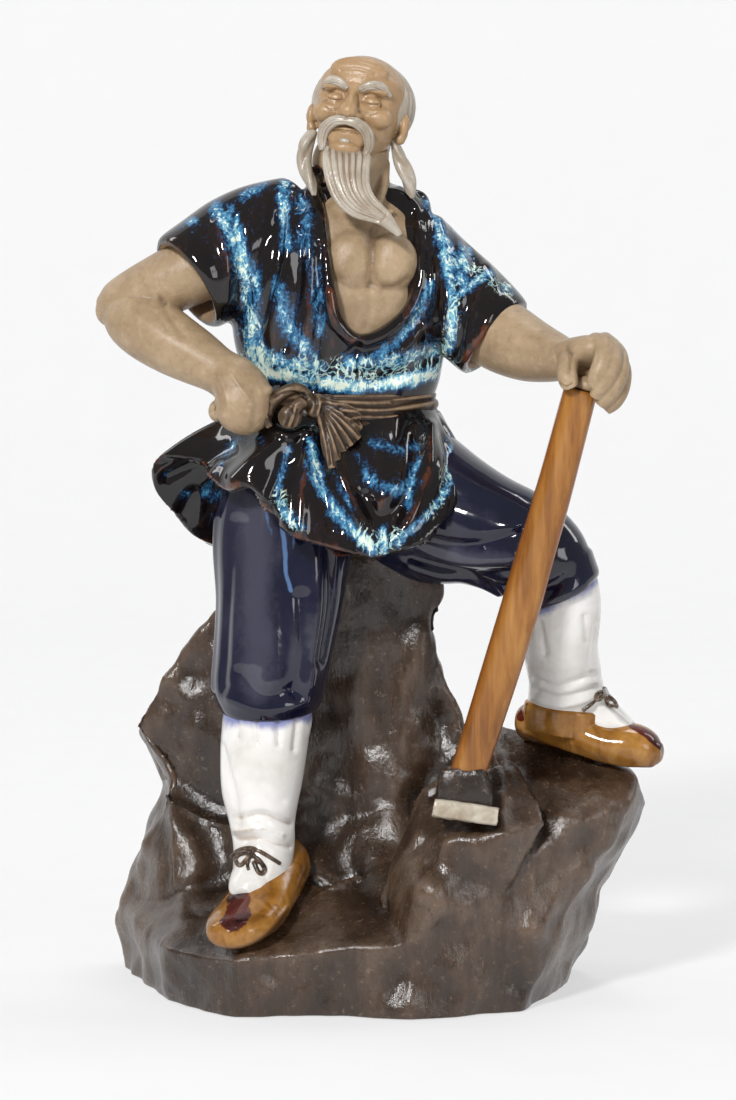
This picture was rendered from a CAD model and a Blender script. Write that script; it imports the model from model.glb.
import math

import bmesh
import bpy
import numpy as np
from mathutils import Euler, Matrix, Vector, noise
from mathutils.bvhtree import BVHTree


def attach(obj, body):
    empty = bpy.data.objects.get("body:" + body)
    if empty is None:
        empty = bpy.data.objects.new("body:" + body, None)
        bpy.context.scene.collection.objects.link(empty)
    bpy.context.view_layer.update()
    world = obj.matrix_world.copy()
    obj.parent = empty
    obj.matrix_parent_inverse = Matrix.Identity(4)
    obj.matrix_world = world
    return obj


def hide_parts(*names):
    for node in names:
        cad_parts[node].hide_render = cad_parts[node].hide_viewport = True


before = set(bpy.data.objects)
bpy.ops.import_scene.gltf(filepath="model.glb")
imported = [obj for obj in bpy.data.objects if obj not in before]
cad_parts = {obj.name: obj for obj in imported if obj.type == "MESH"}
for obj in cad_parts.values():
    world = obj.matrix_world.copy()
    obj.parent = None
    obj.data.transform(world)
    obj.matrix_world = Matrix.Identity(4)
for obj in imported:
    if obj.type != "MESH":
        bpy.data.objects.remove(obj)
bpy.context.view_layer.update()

mm = 0.001
roughing = 1.0

# Forms are laid out in millimetres, the figure facing -Y, and made into meshes in metres


def flowing(rows, perSpan):  # rows of numbers on a smooth curve through all of them
    rows = np.array(rows, float)
    before, after = 2 * rows[0] - rows[1], 2 * rows[-1] - rows[-2]
    padded = np.vstack([before, rows, after])
    made = []
    for a, b, c, d in zip(padded, padded[1:], padded[2:], padded[3:]):
        for step in range(perSpan):
            t = step / perSpan
            curve = 2 * b + (c - a) * t + (2 * a - 5 * b + 4 * c - d) * t**2 + (3 * b - a - 3 * c + d) * t**3
            made.append(0.5 * curve)
    made.append(rows[-1])
    return np.array(made)


def merged(meshes):  # meshes side by side, to be worked on
    shaped = bmesh.new()
    for mesh in meshes:
        shaped.from_mesh(mesh)
    return shaped


def finished(shaped):
    mesh = bpy.data.meshes.new("form")
    shaped.to_mesh(mesh)
    shaped.free()
    return mesh


def meshOf(points, faces):
    mesh = bpy.data.meshes.new("form")
    mesh.from_pydata((np.array(points) * mm).tolist(), [], faces)
    shaped = merged([mesh])
    bmesh.ops.recalc_face_normals(shaped, faces=shaped.faces)
    return finished(shaped)


def loft(stations, across=(1, 0, 0), along=None, sides=28, perSpan=5, power=2.0):
    # a station is x, y, z, half width, half depth; the width lies along across
    rows = flowing(stations, perSpan)
    centres, halves = rows[:, :3], np.maximum(rows[:, 3:5], 0.05)
    heading = np.tile(np.array(along, float), (len(rows), 1)) if along else np.gradient(centres, axis=0)
    heading /= np.linalg.norm(heading, axis=1)[:, None]
    wide = np.array(across, float) - heading * (heading @ np.array(across, float))[:, None]
    wide /= np.linalg.norm(wide, axis=1)[:, None]
    deep = np.cross(heading, wide)
    turn = np.linspace(0, 2 * math.pi, sides, endpoint=False)
    c = np.sign(np.cos(turn)) * np.abs(np.cos(turn)) ** (2 / power)
    s = np.sign(np.sin(turn)) * np.abs(np.sin(turn)) ** (2 / power)
    rings = centres[:, None] + wide[:, None] * (halves[:, :1] * c)[:, :, None]
    rings = rings + deep[:, None] * (halves[:, 1:] * s)[:, :, None]
    faces = [
        [r * sides + k, r * sides + (k + 1) % sides, (r + 1) * sides + (k + 1) % sides, (r + 1) * sides + k]
        for r in range(len(rows) - 1)
        for k in range(sides)
    ]
    faces.append(list(range(sides))[::-1])
    faces.append([(len(rows) - 1) * sides + k for k in range(sides)])
    return meshOf(rings.reshape(-1, 3), faces)


def strand(points, radii, flat=1.0, across=(1, 0, 0), sides=14):  # a tapering tube
    return loft([(*p, r, r * flat) for p, r in zip(points, radii)], across=across, sides=sides)


def ball(centre, radii, tilt=(0, 0, 0)):
    shaped = bmesh.new()
    bmesh.ops.create_icosphere(shaped, subdivisions=4, radius=1.0)
    size = Matrix.Diagonal((*[r * mm for r in radii], 1))
    turn = Euler([math.radians(a) for a in tilt]).to_matrix().to_4x4()
    shaped.transform(Matrix.Translation(Vector(centre) * mm) @ turn @ size)
    return finished(shaped)


def boulder(corners):  # a faceted lump, the hull of its corners
    shaped = bmesh.new()
    for x, y, z in corners:
        shaped.verts.new(Vector((x, y, z)) * mm)
    made = bmesh.ops.convex_hull(shaped, input=shaped.verts)
    spare = {v for v in made["geom_interior"] if isinstance(v, bmesh.types.BMVert)}
    bmesh.ops.delete(shaped, geom=list(spare), context="VERTS")
    bmesh.ops.recalc_face_normals(shaped, faces=shaped.faces)
    return finished(shaped)


def standing(name, data):
    made = bpy.data.objects.new(name, data)
    bpy.context.scene.collection.objects.link(made)
    return made


def evaluated(piece):  # the mesh that the modifiers make; the object itself goes
    made = bpy.data.meshes.new_from_object(piece.evaluated_get(bpy.context.evaluated_depsgraph_get()))
    bpy.data.objects.remove(piece, do_unlink=True)
    return made


def cut(mesh, cutter):
    piece, tool = standing("piece", mesh), standing("cutter", cutter)
    taken = piece.modifiers.new("cut", "BOOLEAN")
    taken.operation = "DIFFERENCE"
    taken.solver = "EXACT"
    taken.object = tool
    made = evaluated(piece)
    bpy.data.objects.remove(tool, do_unlink=True)
    return made


def smooth(piece, rounds):
    softer = piece.modifiers.new("smooth", "SMOOTH")
    softer.factor = 0.5
    softer.iterations = rounds


def luted(lumps, grain, soften):  # lumps pressed into one clay piece and smoothed
    grain *= roughing
    piece = standing("luted", finished(merged(lumps)))
    voxels = piece.modifiers.new("clay", "REMESH")
    voxels.mode = "VOXEL"
    voxels.voxel_size = grain * mm
    smooth(piece, max(1, int(round(soften / grain**2))))
    return evaluated(piece)


def thinned(mesh, faces):
    mesh.calc_loop_triangles()
    if len(mesh.loop_triangles) <= faces:
        return mesh
    piece = standing("piece", mesh)
    fewer = piece.modifiers.new("fewer", "DECIMATE")
    fewer.use_collapse_triangulate = True
    fewer.ratio = faces / len(mesh.loop_triangles)
    return evaluated(piece)


def read(mesh):  # points and normals of a mesh, in millimetres
    count = len(mesh.vertices)
    at, normals = np.empty(count * 3, np.float32), np.empty(count * 3, np.float32)
    mesh.vertices.foreach_get("co", at)
    mesh.vertex_normals.foreach_get("vector", normals)
    return at.reshape(-1, 3).astype(float) / mm, normals.reshape(-1, 3).astype(float)


def write(mesh, at):
    mesh.vertices.foreach_set("co", (at * mm).astype(np.float32).ravel())
    mesh.update()
    return mesh


facings = {  # the two axes that a drawing lies on, and the way that the surface under it faces
    "front": ((0, 2), (0, -1, 0)),
    "back": ((0, 2), (0, 1, 0)),
    "left": ((1, 2), (-1, 0, 0)),
    "right": ((1, 2), (1, 0, 0)),
}


def gapTo(path, points):
    least = np.full(len(points), 1e9)
    for a, b in zip(path, path[1:]):
        run = b - a
        t = np.clip((points - a) @ run / max(run @ run, 1e-9), 0, 1)
        least = np.minimum(least, np.linalg.norm(points - a - t[:, None] * run, axis=1))
    return least


def strokeShare(at, normals, facing, points, width):  # how much each point feels a drawn line
    axes, look = facings[facing]
    path = flowing(points, 4) if len(points) > 2 else np.array(points, float)
    seen, share = at[:, axes], np.zeros(len(at))
    reach = 2.4 * width
    near = np.all((seen > path.min(0) - reach) & (seen < path.max(0) + reach), axis=1)
    near &= normals @ np.array(look) > 0.05
    if near.any():
        turned = np.clip(normals[near] @ np.array(look) * 2.5, 0, 1)
        share[near] = np.exp(-((gapTo(path, seen[near]) / width) ** 2)) * turned
    return share


def drawn(facing, rows, sides=(1,)):  # a row is a half width, a height or strength and the points of a line
    return [
        (facing, [(side * x, z) for x, z in points], width, height)
        for width, height, *points in rows
        for side in sides
    ]


def carve(mesh, strokes):
    at, normals = read(mesh)
    moved = at.copy()
    for facing, points, width, height in strokes:
        moved += normals * (strokeShare(at, normals, facing, points, width) * height)[:, None]
    return write(mesh, moved)


def paint(mesh, name, marks):  # a value at each point, from drawn lines
    at, normals = read(mesh)
    most = np.zeros(len(at))
    for facing, points, width, strength in marks:
        most = np.maximum(most, strokeShare(at, normals, facing, points, width) * strength)
    store(mesh, name, most)


def store(mesh, name, values):
    made = mesh.attributes.new(name, "FLOAT", "POINT")
    made.data.foreach_set("value", values.astype(np.float32))


def roughen(mesh, size, height, seed):  # slow bumps from noise
    at, normals = read(mesh)
    lift = [noise.noise(Vector(p) / size + Vector((seed, 0, 0))) for p in at.tolist()]
    return write(mesh, at + normals * (np.array(lift) * height)[:, None])


def laidOn(mesh, points, proud):  # x and z of each point, brought to the surface as seen from the front
    shaped = merged([mesh])
    tree = BVHTree.FromBMesh(shaped)
    shaped.free()
    laid = []
    for x, z in points:
        hit = tree.ray_cast(Vector((x, -150, z)) * mm, Vector((0, 1, 0)))[0]
        laid.append((x, (hit.y / mm if hit else -20) - proud, z))
    return laid


def measureFolds(mesh, name, reach, height):
    # how far each point stands out of the smoothed surface: over 0.5 on a ridge, under it in a fold
    piece = standing("smoothed", mesh.copy())
    edge = np.sqrt(sum(p.area for p in mesh.polygons) / len(mesh.vertices)) / mm
    smooth(piece, int(min(200, max(4, (reach / edge) ** 2))))
    flat, _ = read(evaluated(piece))
    at, normals = read(mesh)
    out = ((at - flat) * normals).sum(axis=1)
    store(mesh, name, np.clip(0.5 + 0.5 * out / height, 0, 1))


def modelled(clay, forms, strokes):  # luted, carved, and its folds measured
    mesh = luted(forms, clay["grain"], clay["soften"])
    carve(mesh, strokes)
    measureFolds(mesh, "relief", *clay["folds"])
    return mesh


def settle(name, mesh, glaze, faces):  # the finished piece, riding on the part
    mesh = thinned(mesh, int(faces / roughing**2))
    for face in mesh.polygons:
        face.use_smooth = True
    mesh.materials.clear()
    mesh.materials.append(glaze)
    piece = standing(name, mesh)
    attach(piece, "root")
    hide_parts("figure_on_rock")
    mesh.calc_loop_triangles()
    print(name, len(mesh.loop_triangles), "triangles", flush=True)


def bothSides(make):
    return [make(1), make(-1)]


# Glazes: shader sums are written as plain expressions


class Wire:  # a shader socket that can stand in a sum
    def __init__(self, glaze, socket):
        self.glaze = glaze
        self.socket = socket

    def __add__(self, other):
        return self.glaze.maths("ADD", self, other)

    def __radd__(self, other):
        return self.glaze.maths("ADD", other, self)

    def __sub__(self, other):
        return self.glaze.maths("SUBTRACT", self, other)

    def __rsub__(self, other):
        return self.glaze.maths("SUBTRACT", other, self)

    def __mul__(self, other):
        return self.glaze.maths("MULTIPLY", self, other)


class Glaze:  # one material and its node graph
    def __init__(self, name, roughness=0.2, bending=1.5, specular=0.5):
        self.material = bpy.data.materials.new(name)
        self.material.use_nodes = True
        self.tree = self.material.node_tree
        self.shader = self.tree.nodes["Principled BSDF"]
        self.colour = None
        self.shader.inputs["Roughness"].default_value = roughness
        self.shader.inputs["IOR"].default_value = bending
        self.shader.inputs["Specular IOR Level"].default_value = specular

    def node(self, kind, settings=None, sockets=None, out=0):
        made = self.tree.nodes.new("ShaderNode" + kind)
        for key, value in (settings or {}).items():
            if key == "stops":
                self.setStops(made.color_ramp, value)
            else:
                setattr(made, key, value)
        for key, value in (sockets or {}).items():
            self.join(value, made.inputs[key])
        return Wire(self, made.outputs[out])

    def setStops(self, ramp, stops):
        while len(ramp.elements) < len(stops):
            ramp.elements.new(0.5)
        for element, (place, colour) in zip(ramp.elements, stops):
            element.position = place
            element.color = (*colour, 1)

    def join(self, value, socket):
        if isinstance(value, Wire):
            self.tree.links.new(value.socket, socket)
        else:
            socket.default_value = value

    def maths(self, operation, a, b):
        return self.node("Math", {"operation": operation}, {0: a, 1: b})

    def place(self, stretch=(1, 1, 1)):  # where a point lies on the object, stretched
        at = self.node("TexCoord", out=3)
        return self.node("VectorMath", {"operation": "MULTIPLY"}, {0: at, 1: stretch})

    def noise(self, scale, detail=4.0, rough=0.55, at=None, distort=0.0):
        sockets = {"Scale": scale, "Detail": detail, "Roughness": rough, "Distortion": distort}
        return self.node("TexNoise", {}, {"Vector": at or self.place(), **sockets})

    def swirled(self, at, scale, amount):  # a place pushed about by noise
        push = self.node("TexNoise", {}, {"Vector": at, "Scale": scale, "Detail": 3.0}, out=1)
        push = self.node("VectorMath", {"operation": "SUBTRACT"}, {0: push, 1: (0.5, 0.5, 0.5)})
        push = self.node("VectorMath", {"operation": "SCALE"}, {0: push, "Scale": amount})
        return self.node("VectorMath", {"operation": "ADD"}, {0: at, 1: push})

    def cells(self, scale, at):  # how far a point lies from the edge of its cell
        return self.node("TexVoronoi", {"feature": "DISTANCE_TO_EDGE"}, {"Vector": at, "Scale": scale})

    def rise(self, value, low, high):  # 0 below low, 1 above high, smooth between
        settings = {"interpolation_type": "SMOOTHSTEP"}
        return self.node("MapRange", settings, {"Value": value, "From Min": low, "From Max": high})

    def ramp(self, value, stops):
        return self.node("ValToRGB", {"stops": stops}, {"Fac": value})

    def blend(self, share, a, b):
        made = self.tree.nodes.new("ShaderNodeMix")
        made.data_type = "RGBA"
        self.join(share, made.inputs[0])
        for value, socket in ((a, made.inputs[6]), (b, made.inputs[7])):
            self.join(value if isinstance(value, Wire) else (*value, 1), socket)
        return Wire(self, made.outputs[2])

    def coat(self, share, tint):  # more colour over what is there
        self.colour = self.blend(share, self.colour, tint)

    def mark(self, name):  # a value stored on the clay
        return self.node("Attribute", {"attribute_name": name}, out=2)

    def axis(self, which):
        return self.node("SeparateXYZ", {}, {0: self.node("TexCoord", out=3)}, out=which)

    def bump(self, height, depth, strength, under=None):
        sockets = {"Height": height, "Distance": depth, "Strength": strength}
        if under:
            sockets["Normal"] = under
        return self.node("Bump", {}, sockets)

    def done(self, roughness=None, normal=None):
        for value, name in ((self.colour, "Base Color"), (roughness, "Roughness"), (normal, "Normal")):
            if value is not None:
                self.join(value, self.shader.inputs[name])
        return self.material


# Rock

rockClay = {
    "grain": 0.95, "soften": 13.0, "faces": 150000, "ledge": 20, "seat": 139, "boulder": 83,
    "folds": (5.0, 1.6), "valleys": (14.0, 4.0), "bumps": ((15.0, 1.7, 3), (9.5, 0.9, 21), (6.5, 0.45, 11)),
}


def rockMasses():
    ledge, seat, top = rockClay["ledge"], rockClay["seat"], rockClay["boulder"]
    footLedge = boulder([
        (-65, -20, 0), (-44, -46, 0), (-18, -42, 0), (-8, -20, 0), (-60, 20, 0), (-82, 34, 0),
        (-78, 50, 0), (-20, 44, 0), (-67, -26, ledge - 2), (-46, -48, ledge - 2), (-20, -45, ledge),
        (-8, -20, ledge + 13), (-28, -2, ledge + 20), (-62, 2, ledge + 13), (-81, 26, ledge + 1),
        (-84, 35, ledge - 3), (-60, 40, ledge + 14),
    ])
    front = boulder([
        (-18, -42, 0), (11, -50, 0), (42, -37, 0), (50, 0, 0), (-18, 0, 0), (-20, -44, ledge),
        (8, -48.5, ledge + 4), (38, -39, ledge + 13), (46, 0, 50), (0, -8, 42), (-20, -18, 35),
    ])
    right = boulder([
        (20, -28, 0), (43, -37, 0), (57, 0, 0), (61, 30, 0), (50, 54, 0), (10, 50, 0), (38, -38, 34),
        (49, -35, 48), (62, -27, 58), (79, -17, 62), (85, 0, 59), (82, -8, 69), (74, 16, 73), (52, 40, 68),
        (26, 26, top - 3), (36, 12, top + 1), (52, 6, top - 2), (28, -24, 58), (20, -18, 62), (75, 8, 44),
    ])
    ramp = boulder([
        (12, -34, 55), (19, -43.5, 55), (40, -43, 57), (52, -35, 59), (8, -47, ledge + 4),
        (38, -40, ledge + 13), (14, -14, 66), (44, -14, 74), (30, 0, 40), (0, -30, 34),
    ])
    column = boulder([
        (16, 8, 90), (16, 36, 90), (18, 9, 114), (22.5, 10, 127), (18, 8, seat), (-30, 6, seat),
        (16, 34, seat - 6), (-26, 38, seat - 3), (-50, 20, 112), (-48, 44, 100), (18, 40, 110),
        (-40, 4, 90),
    ])
    stem = boulder([
        (-42, 4, 30), (12, 0, 30), (30, 6, 60), (30, 44, 60), (-45, 52, 30), (27, 8, 86), (18.5, 9, 106),
        (17, 38, 100), (-44, 8, 104), (-46, 44, 100), (24, 42, 80),
    ])
    shoulder = boulder([
        (-52, 16, 120), (-62.5, 18, 106), (-79.5, 19, 81), (-76.5, 30, 76), (-74, 42, 74), (-50, 46, 114),
        (-20, 10, 112), (-20, 50, 108), (-67, 14, 62), (-30, 6, 48), (-62, 48, 50), (-20, 54, 40),
    ])
    flank = boulder([
        (-69, 10, 62), (-66, 46, 62), (-83, 33, 20), (-82, 34, 0), (-66, 0, 32), (-40, -2, 30),
        (-60, 52, 0), (-20, 54, 0), (-20, 0, 40), (-20, 56, 60),
    ])
    back = boulder([
        (-50, 52, 0), (10, 58, 0), (46, 52, 0), (-40, 30, 0), (40, 30, 0), (-46, 56, 34), (4, 62, 30),
        (38, 54, 40), (-34, 50, 84), (14, 52, 88), (30, 40, 70), (-20, 42, 118), (8, 40, 120),
        (-30, 20, 60), (20, 20, 60),
    ])
    core = boulder([
        (-62, -16, 0), (40, -20, 0), (44, 40, 0), (-60, 44, 0),
        (-30, -6, ledge + 18), (10, -12, ledge + 20), (30, 0, 60), (30, 34, 70), (-50, 40, 70), (-50, 14, 60),
    ])
    return [footLedge, front, right, ramp, column, stem, shoulder, flank, back, core]


rockStrokes = drawn("front", [
    (9, -3, (-70, 70), (-58, 60), (-50, 44), (-52, 30)),
    (8, -3.5, (-18, 96), (-14, 74), (-16, 50), (-8, 36)),
    (5, 2.6, (14, 112), (8, 90), (10, 72), (4, 54)),
    (6, -3.4, (20, 84), (14, 64), (12, 48)),
    (4, 2.2, (14, 84), (16, 78), (15, 72)),
    (4, 2.2, (10, 46), (18, 36), (12, 26)),
    (5, -2, (30, 44), (42, 38), (48, 46)),
    (5, 1.8, (52, 66), (60, 60), (68, 62)),
    (4, 1.8, (48, 26), (60, 40), (70, 54)),
    (5, -1.6, (62, 44), (56, 26), (58, 10)),
    (6, -1.4, (-60, 8), (-50, 14), (-44, 4)),
    (7, -1.2, (-20, 12), (4, 10), (20, 14)),
    (5, 1.3, (28, 6), (36, 16), (38, 26)),
    (4, 1.6, (-66, 96), (-58, 84), (-62, 72)),
    (1.8, 1.8, (37, 74), (39, 68), (38, 60)),
]) + drawn("back", [
    (10, -2.5, (-50, 30), (-20, 50), (-10, 90)),
    (8, 2.2, (10, 20), (20, 50), (4, 100)),
    (8, -2.2, (30, 20), (44, 40), (40, 64)),
    (7, -2, (-70, 20), (-60, 50), (-66, 72)),
]) + drawn("left", [
    (8, -2, (-10, 30), (10, 50), (20, 80)),
    (7, 2, (40, 10), (34, 40), (40, 70)),
]) + drawn("right", [
    (5.5, -3.6, (4, 116), (20, 115), (36, 114)),
]) + drawn("front", [
    (4, -1.8, (-40, 70), (-30, 58), (-22, 60)),
    (4, 1.6, (-66, 52), (-58, 40), (-62, 26)),
    (4, -1.5, (0, 30), (8, 20), (4, 8)),
    (4, -1.3, (-34, 14), (-28, 8), (-30, 2)),
    (4, 1.4, (26, 34), (30, 24), (24, 14)),
    (4, -1.8, (66, 50), (72, 40), (68, 28)),
]) + drawn("right", [
    (8, -2.2, (-20, 30), (0, 34), (20, 30)),
    (7, 2, (30, 10), (20, 40), (30, 60)),
])


def slab(low, high):
    shaped = bmesh.new()
    bmesh.ops.create_cube(shaped, size=1)
    low, high = Vector(low) * mm, Vector(high) * mm
    shaped.transform(Matrix.Translation((low + high) / 2) @ Matrix.Diagonal((*(high - low), 1)))
    return finished(shaped)


def makeRock():
    masses = [boulderBelow(mass) for mass in rockMasses()]
    mesh = luted(masses, rockClay["grain"], rockClay["soften"])
    carve(mesh, rockStrokes)
    for size, height, seed in rockClay["bumps"]:
        roughen(mesh, size, height, seed)
    mesh = cut(mesh, slab((-200, -200, -60), (200, 200, 0)))
    measureFolds(mesh, "relief", *rockClay["folds"])
    measureFolds(mesh, "hollow", *rockClay["valleys"])
    settle("rock", mesh, rockGlaze(), rockClay["faces"])


def boulderBelow(mesh):  # points on the underside go a little lower, to be cut off flat
    at, _ = read(mesh)
    at[:, 2] = np.where(at[:, 2] < 0.01, -4.0, at[:, 2])
    return write(mesh, at)


def rockGlaze():
    g = Glaze("rock_glaze", roughness=0.25, bending=1.6)
    at = g.place()
    relief, hollow = g.mark("relief"), g.mark("hollow")
    patches = g.noise(26, 5, 0.6, g.swirled(g.place((1, 1, 0.55)), 20, 0.02), 0.6)
    scraped = g.noise(150, 6, 0.7, g.swirled(g.place((1, 1, 0.3)), 24, 0.02))
    grains = g.noise(230, 6, 0.7, at)
    fleck = g.noise(520, 4, 0.7, at)
    g.colour = g.ramp(patches + (scraped - 0.5) * 0.5 + (hollow - 0.5) * 0.5, [
        (0.28, (0.016, 0.0085, 0.005)), (0.42, (0.032, 0.018, 0.0105)), (0.56, (0.058, 0.034, 0.0205)),
        (0.72, (0.108, 0.07, 0.046))])
    rust = g.rise(relief * 0.7 + (grains - 0.5) * 0.9, 0.42, 0.72) * g.rise(patches, 0.45, 0.62)
    g.coat(rust * 0.5, (0.22, 0.1, 0.045))
    valley = g.rise(0.5 - relief + (grains - 0.5) * 0.3, 0.02, 0.36)
    g.coat(valley * 0.85, (0.011, 0.0065, 0.0045))
    g.coat(g.rise(fleck, 0.58, 0.7) * 0.4, (0.24, 0.17, 0.12))
    g.coat(g.rise(0.42 - fleck, 0.0, 0.08) * 0.5, (0.016, 0.01, 0.008))
    rough = 0.17 + (grains - 0.5) * 0.2 + patches * 0.14
    fine = g.bump(fleck, 0.0003, 0.4)
    normal = g.bump(scraped, 0.0011, 0.6, g.bump(g.noise(110, 4, 0.6, at), 0.0008, 0.5, fine))
    return g.done(rough, normal)


# Trousers

trouserClay = {"grain": 0.65, "soften": 2.6, "folds": (3.5, 0.8), "faces": 90000}


def trouserForms():
    standingLeg = loft([
        (-21, 3, 178, 27, 20), (-25, 1, 162, 24, 21), (-29, -3, 145, 22, 20.5), (-30.5, -8, 125, 19.5, 19),
        (-32.8, -11, 107, 18, 18), (-34.2, -13, 97, 17.3, 17), (-34.5, -14, 91.8, 15.5, 15.5),
        (-34.5, -14, 89.8, 12.5, 12.5),
    ], sides=48)
    raisedLeg = loft([
        (-6, 3, 168, 22, 22), (8, 0, 161, 22, 21), (20, -6, 154.5, 19.5, 19.5), (33, -13, 149.5, 16.6, 16.6),
        (44.5, -19, 145.2, 15.6, 15.2), (51.6, -22, 140.4, 14, 13.8), (54.6, -21.8, 135, 12.4, 12.4),
    ], across=(0, 1, 0.3), sides=48)
    cuff = loft([
        (56.2, -21.4, 138, 12.4, 11.2), (56.9, -20.8, 133, 13, 12.2), (57.4, -20.2, 129.4, 13.3, 12.8),
        (57.7, -19.9, 127.8, 11.8, 11.2),
    ], across=(0, 1, 0), along=(0.46, 0, -0.89), sides=48)
    belly = loft([
        (6, -2, 148, 10, 12), (18, -5, 141.6, 10, 11.4), (28, -8, 140, 10, 10), (36, -11, 137, 9, 9),
        (42, -14, 133.5, 8, 8.4),
    ], across=(0, 1, 0))
    seat = ball((-9, 4, 160), (30, 21, 20))
    knee = ball((52.0, -23, 139.6), (13.2, 12.6, 12.6))
    droop = loft([
        (36, -14, 137, 5, 6), (44, -18, 131, 7, 7), (48, -19, 126.5, 5, 5), (50, -18, 124.8, 2, 2),
    ], across=(0, 1, 0))
    return [standingLeg, raisedLeg, cuff, belly, seat, knee, droop]


trouserStrokes = drawn("front", [
    (3.2, 0.9, (-36, 160), (-37, 135), (-39, 108)),
    (3, -0.9, (-30, 150), (-29, 125), (-27, 100)),
    (2.6, 1.4, (-20, 146), (-19, 124), (-22, 100)),
    (2, -1.6, (-15, 142), (-15, 126), (-18, 108)),
    (2, -1.2, (-24, 128), (-23, 112), (-25, 98)),
    (2.2, -0.8, (-43, 104), (-36, 98), (-26, 99)),
    (2, 0.8, (-46, 96), (-36, 93), (-22, 95)),
    (2, -1.6, (8, 147), (26, 144), (44, 149)),
    (2, 1.2, (6, 143), (24, 139), (42, 141)),
    (1.8, -1.4, (10, 139), (26, 134.5), (40, 136)),
    (3, -0.7, (22, 160), (38, 156), (52, 148)),
    (1.8, -1, (42, 132), (50, 131), (58, 135)),
    (1.6, 0.7, (48, 126), (56, 128.5), (64, 131)),
    (1.8, 0.9, (10, 136), (20, 133), (32, 134)),
    (2.4, -0.7, (-42, 150), (-43, 130), (-42, 112)),
    (2.2, -0.8, (44, 139), (50, 142), (52, 150)),
]) + drawn("back", [
    (3, -1.2, (-40, 160), (-36, 130), (-34, 100)),
    (3, 1.2, (-26, 150), (-28, 125), (-30, 100)),
    (3, -1.4, (10, 150), (30, 142), (50, 138)),
]) + drawn("left", [
    (2.6, -1.2, (-16, 150), (-18, 125), (-22, 100)),
    (2.6, 1.2, (-4, 150), (-6, 125), (-12, 98)),
])


def makeTrousers():
    mesh = modelled(trouserClay, trouserForms(), trouserStrokes)
    paint(mesh, "drip", drawn("front", [
        (0.8, 1, (-30.4, 152), (-29, 144), (-28.6, 136), (-27, 130)),
        (0.7, 0.8, (-35, 158), (-34, 150), (-31, 145)),
        (0.7, 0.8, (-26.5, 150), (-26, 143)),
    ]))
    paint(mesh, "haze", drawn("front", [
        (7, 1, (-36, 152), (-37, 126), (-37, 100)),
        (5, 0.8, (4, 146), (22, 141), (40, 140)),
        (4, 0.5, (8, 160), (26, 157), (42, 150)),
    ]) + drawn("back", [
        (8, 0.8, (-34, 150), (-34, 100)),
    ]))
    settle("trousers", mesh, trouserGlaze(), trouserClay["faces"])


def trouserGlaze():
    g = Glaze("trouser_glaze", roughness=0.1, bending=1.6)
    at = g.place()
    relief = g.mark("relief")
    haze = g.noise(34, 5, 0.6, g.place((1, 1, 0.5)), 0.5)
    specks = g.noise(480, 4, 0.7, at)
    g.colour = g.ramp(haze, [
        (0.3, (0.003, 0.004, 0.014)), (0.5, (0.006, 0.007, 0.024)), (0.7, (0.022, 0.021, 0.042))])
    dusty = g.rise(g.mark("haze") + (haze - 0.5) * 1.6 + (specks - 0.5) * 0.4, 0.25, 1.0)
    g.coat(dusty * 0.7, (0.062, 0.06, 0.088))
    worn = g.rise(relief + (specks - 0.5) * 0.6, 0.64, 0.95) * g.rise(haze, 0.4, 0.6)
    g.coat(worn * 0.6, (0.07, 0.055, 0.065))
    pooled = g.rise(0.5 - relief, 0.05, 0.4)
    g.coat(pooled * 0.6, (0.003, 0.004, 0.022))
    g.coat(g.rise(specks, 0.64, 0.72) * 0.3, (0.06, 0.06, 0.09))
    drip = g.rise(g.mark("drip") + (g.noise(260, 4, 0.7, g.place((1, 1, 0.3))) - 0.5) * 1.2, 0.4, 0.8)
    g.coat(drip * 0.85, (0.09, 0.17, 0.33))
    rough = 0.1 + (haze - 0.5) * 0.12 + worn * 0.14
    return g.done(rough, g.bump(haze, 0.0012, 0.3))


# Stockings

stockingClay = {"grain": 0.55, "soften": 0.9, "folds": (2.4, 0.5), "faces": 60000}


def stockingForms():
    standingLeg = loft([
        (-34.5, -14, 97, 13, 12.5), (-34.5, -14, 90, 14.0, 13.2), (-35.3, -14, 84, 13.8, 13.2),
        (-36, -14, 76.6, 13.5, 13), (-36.7, -14.2, 66, 12.5, 12.4), (-36.3, -15, 56, 10.4, 11),
        (-35.8, -16.5, 49, 9.7, 10.6), (-36.5, -20, 42, 9, 10), (-38, -24, 36, 8, 9),
    ], sides=40)
    instep = loft([
        (-35, -16, 44, 8, 8), (-38.5, -24, 40, 7.6, 6.5), (-41, -30, 37, 6, 4.6), (-42, -33, 35.6, 3, 2.4),
    ], across=(1, -0.4, 0))
    raisedLeg = loft([
        (57.2, -20.4, 137, 10, 10), (57.4, -19, 130, 11.5, 11.5), (57.3, -17, 123, 12.3, 12),
        (56.9, -13, 113, 12, 12), (57.7, -9, 107, 11.7, 12), (59.0, -5.5, 99.4, 11.6, 12),
        (59.6, -3, 91.3, 12.4, 9.5), (60, -2, 86, 12, 8.5),
    ], sides=40)
    arch = loft([
        (58, -1, 91, 8, 7.5), (66, -2.5, 90, 7.6, 7), (74, -5, 85.5, 6.4, 5.6), (79.5, -7, 83, 4.2, 3.4),
    ], across=(0.2, 1, 0))
    return [standingLeg, instep, raisedLeg, arch]


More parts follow.
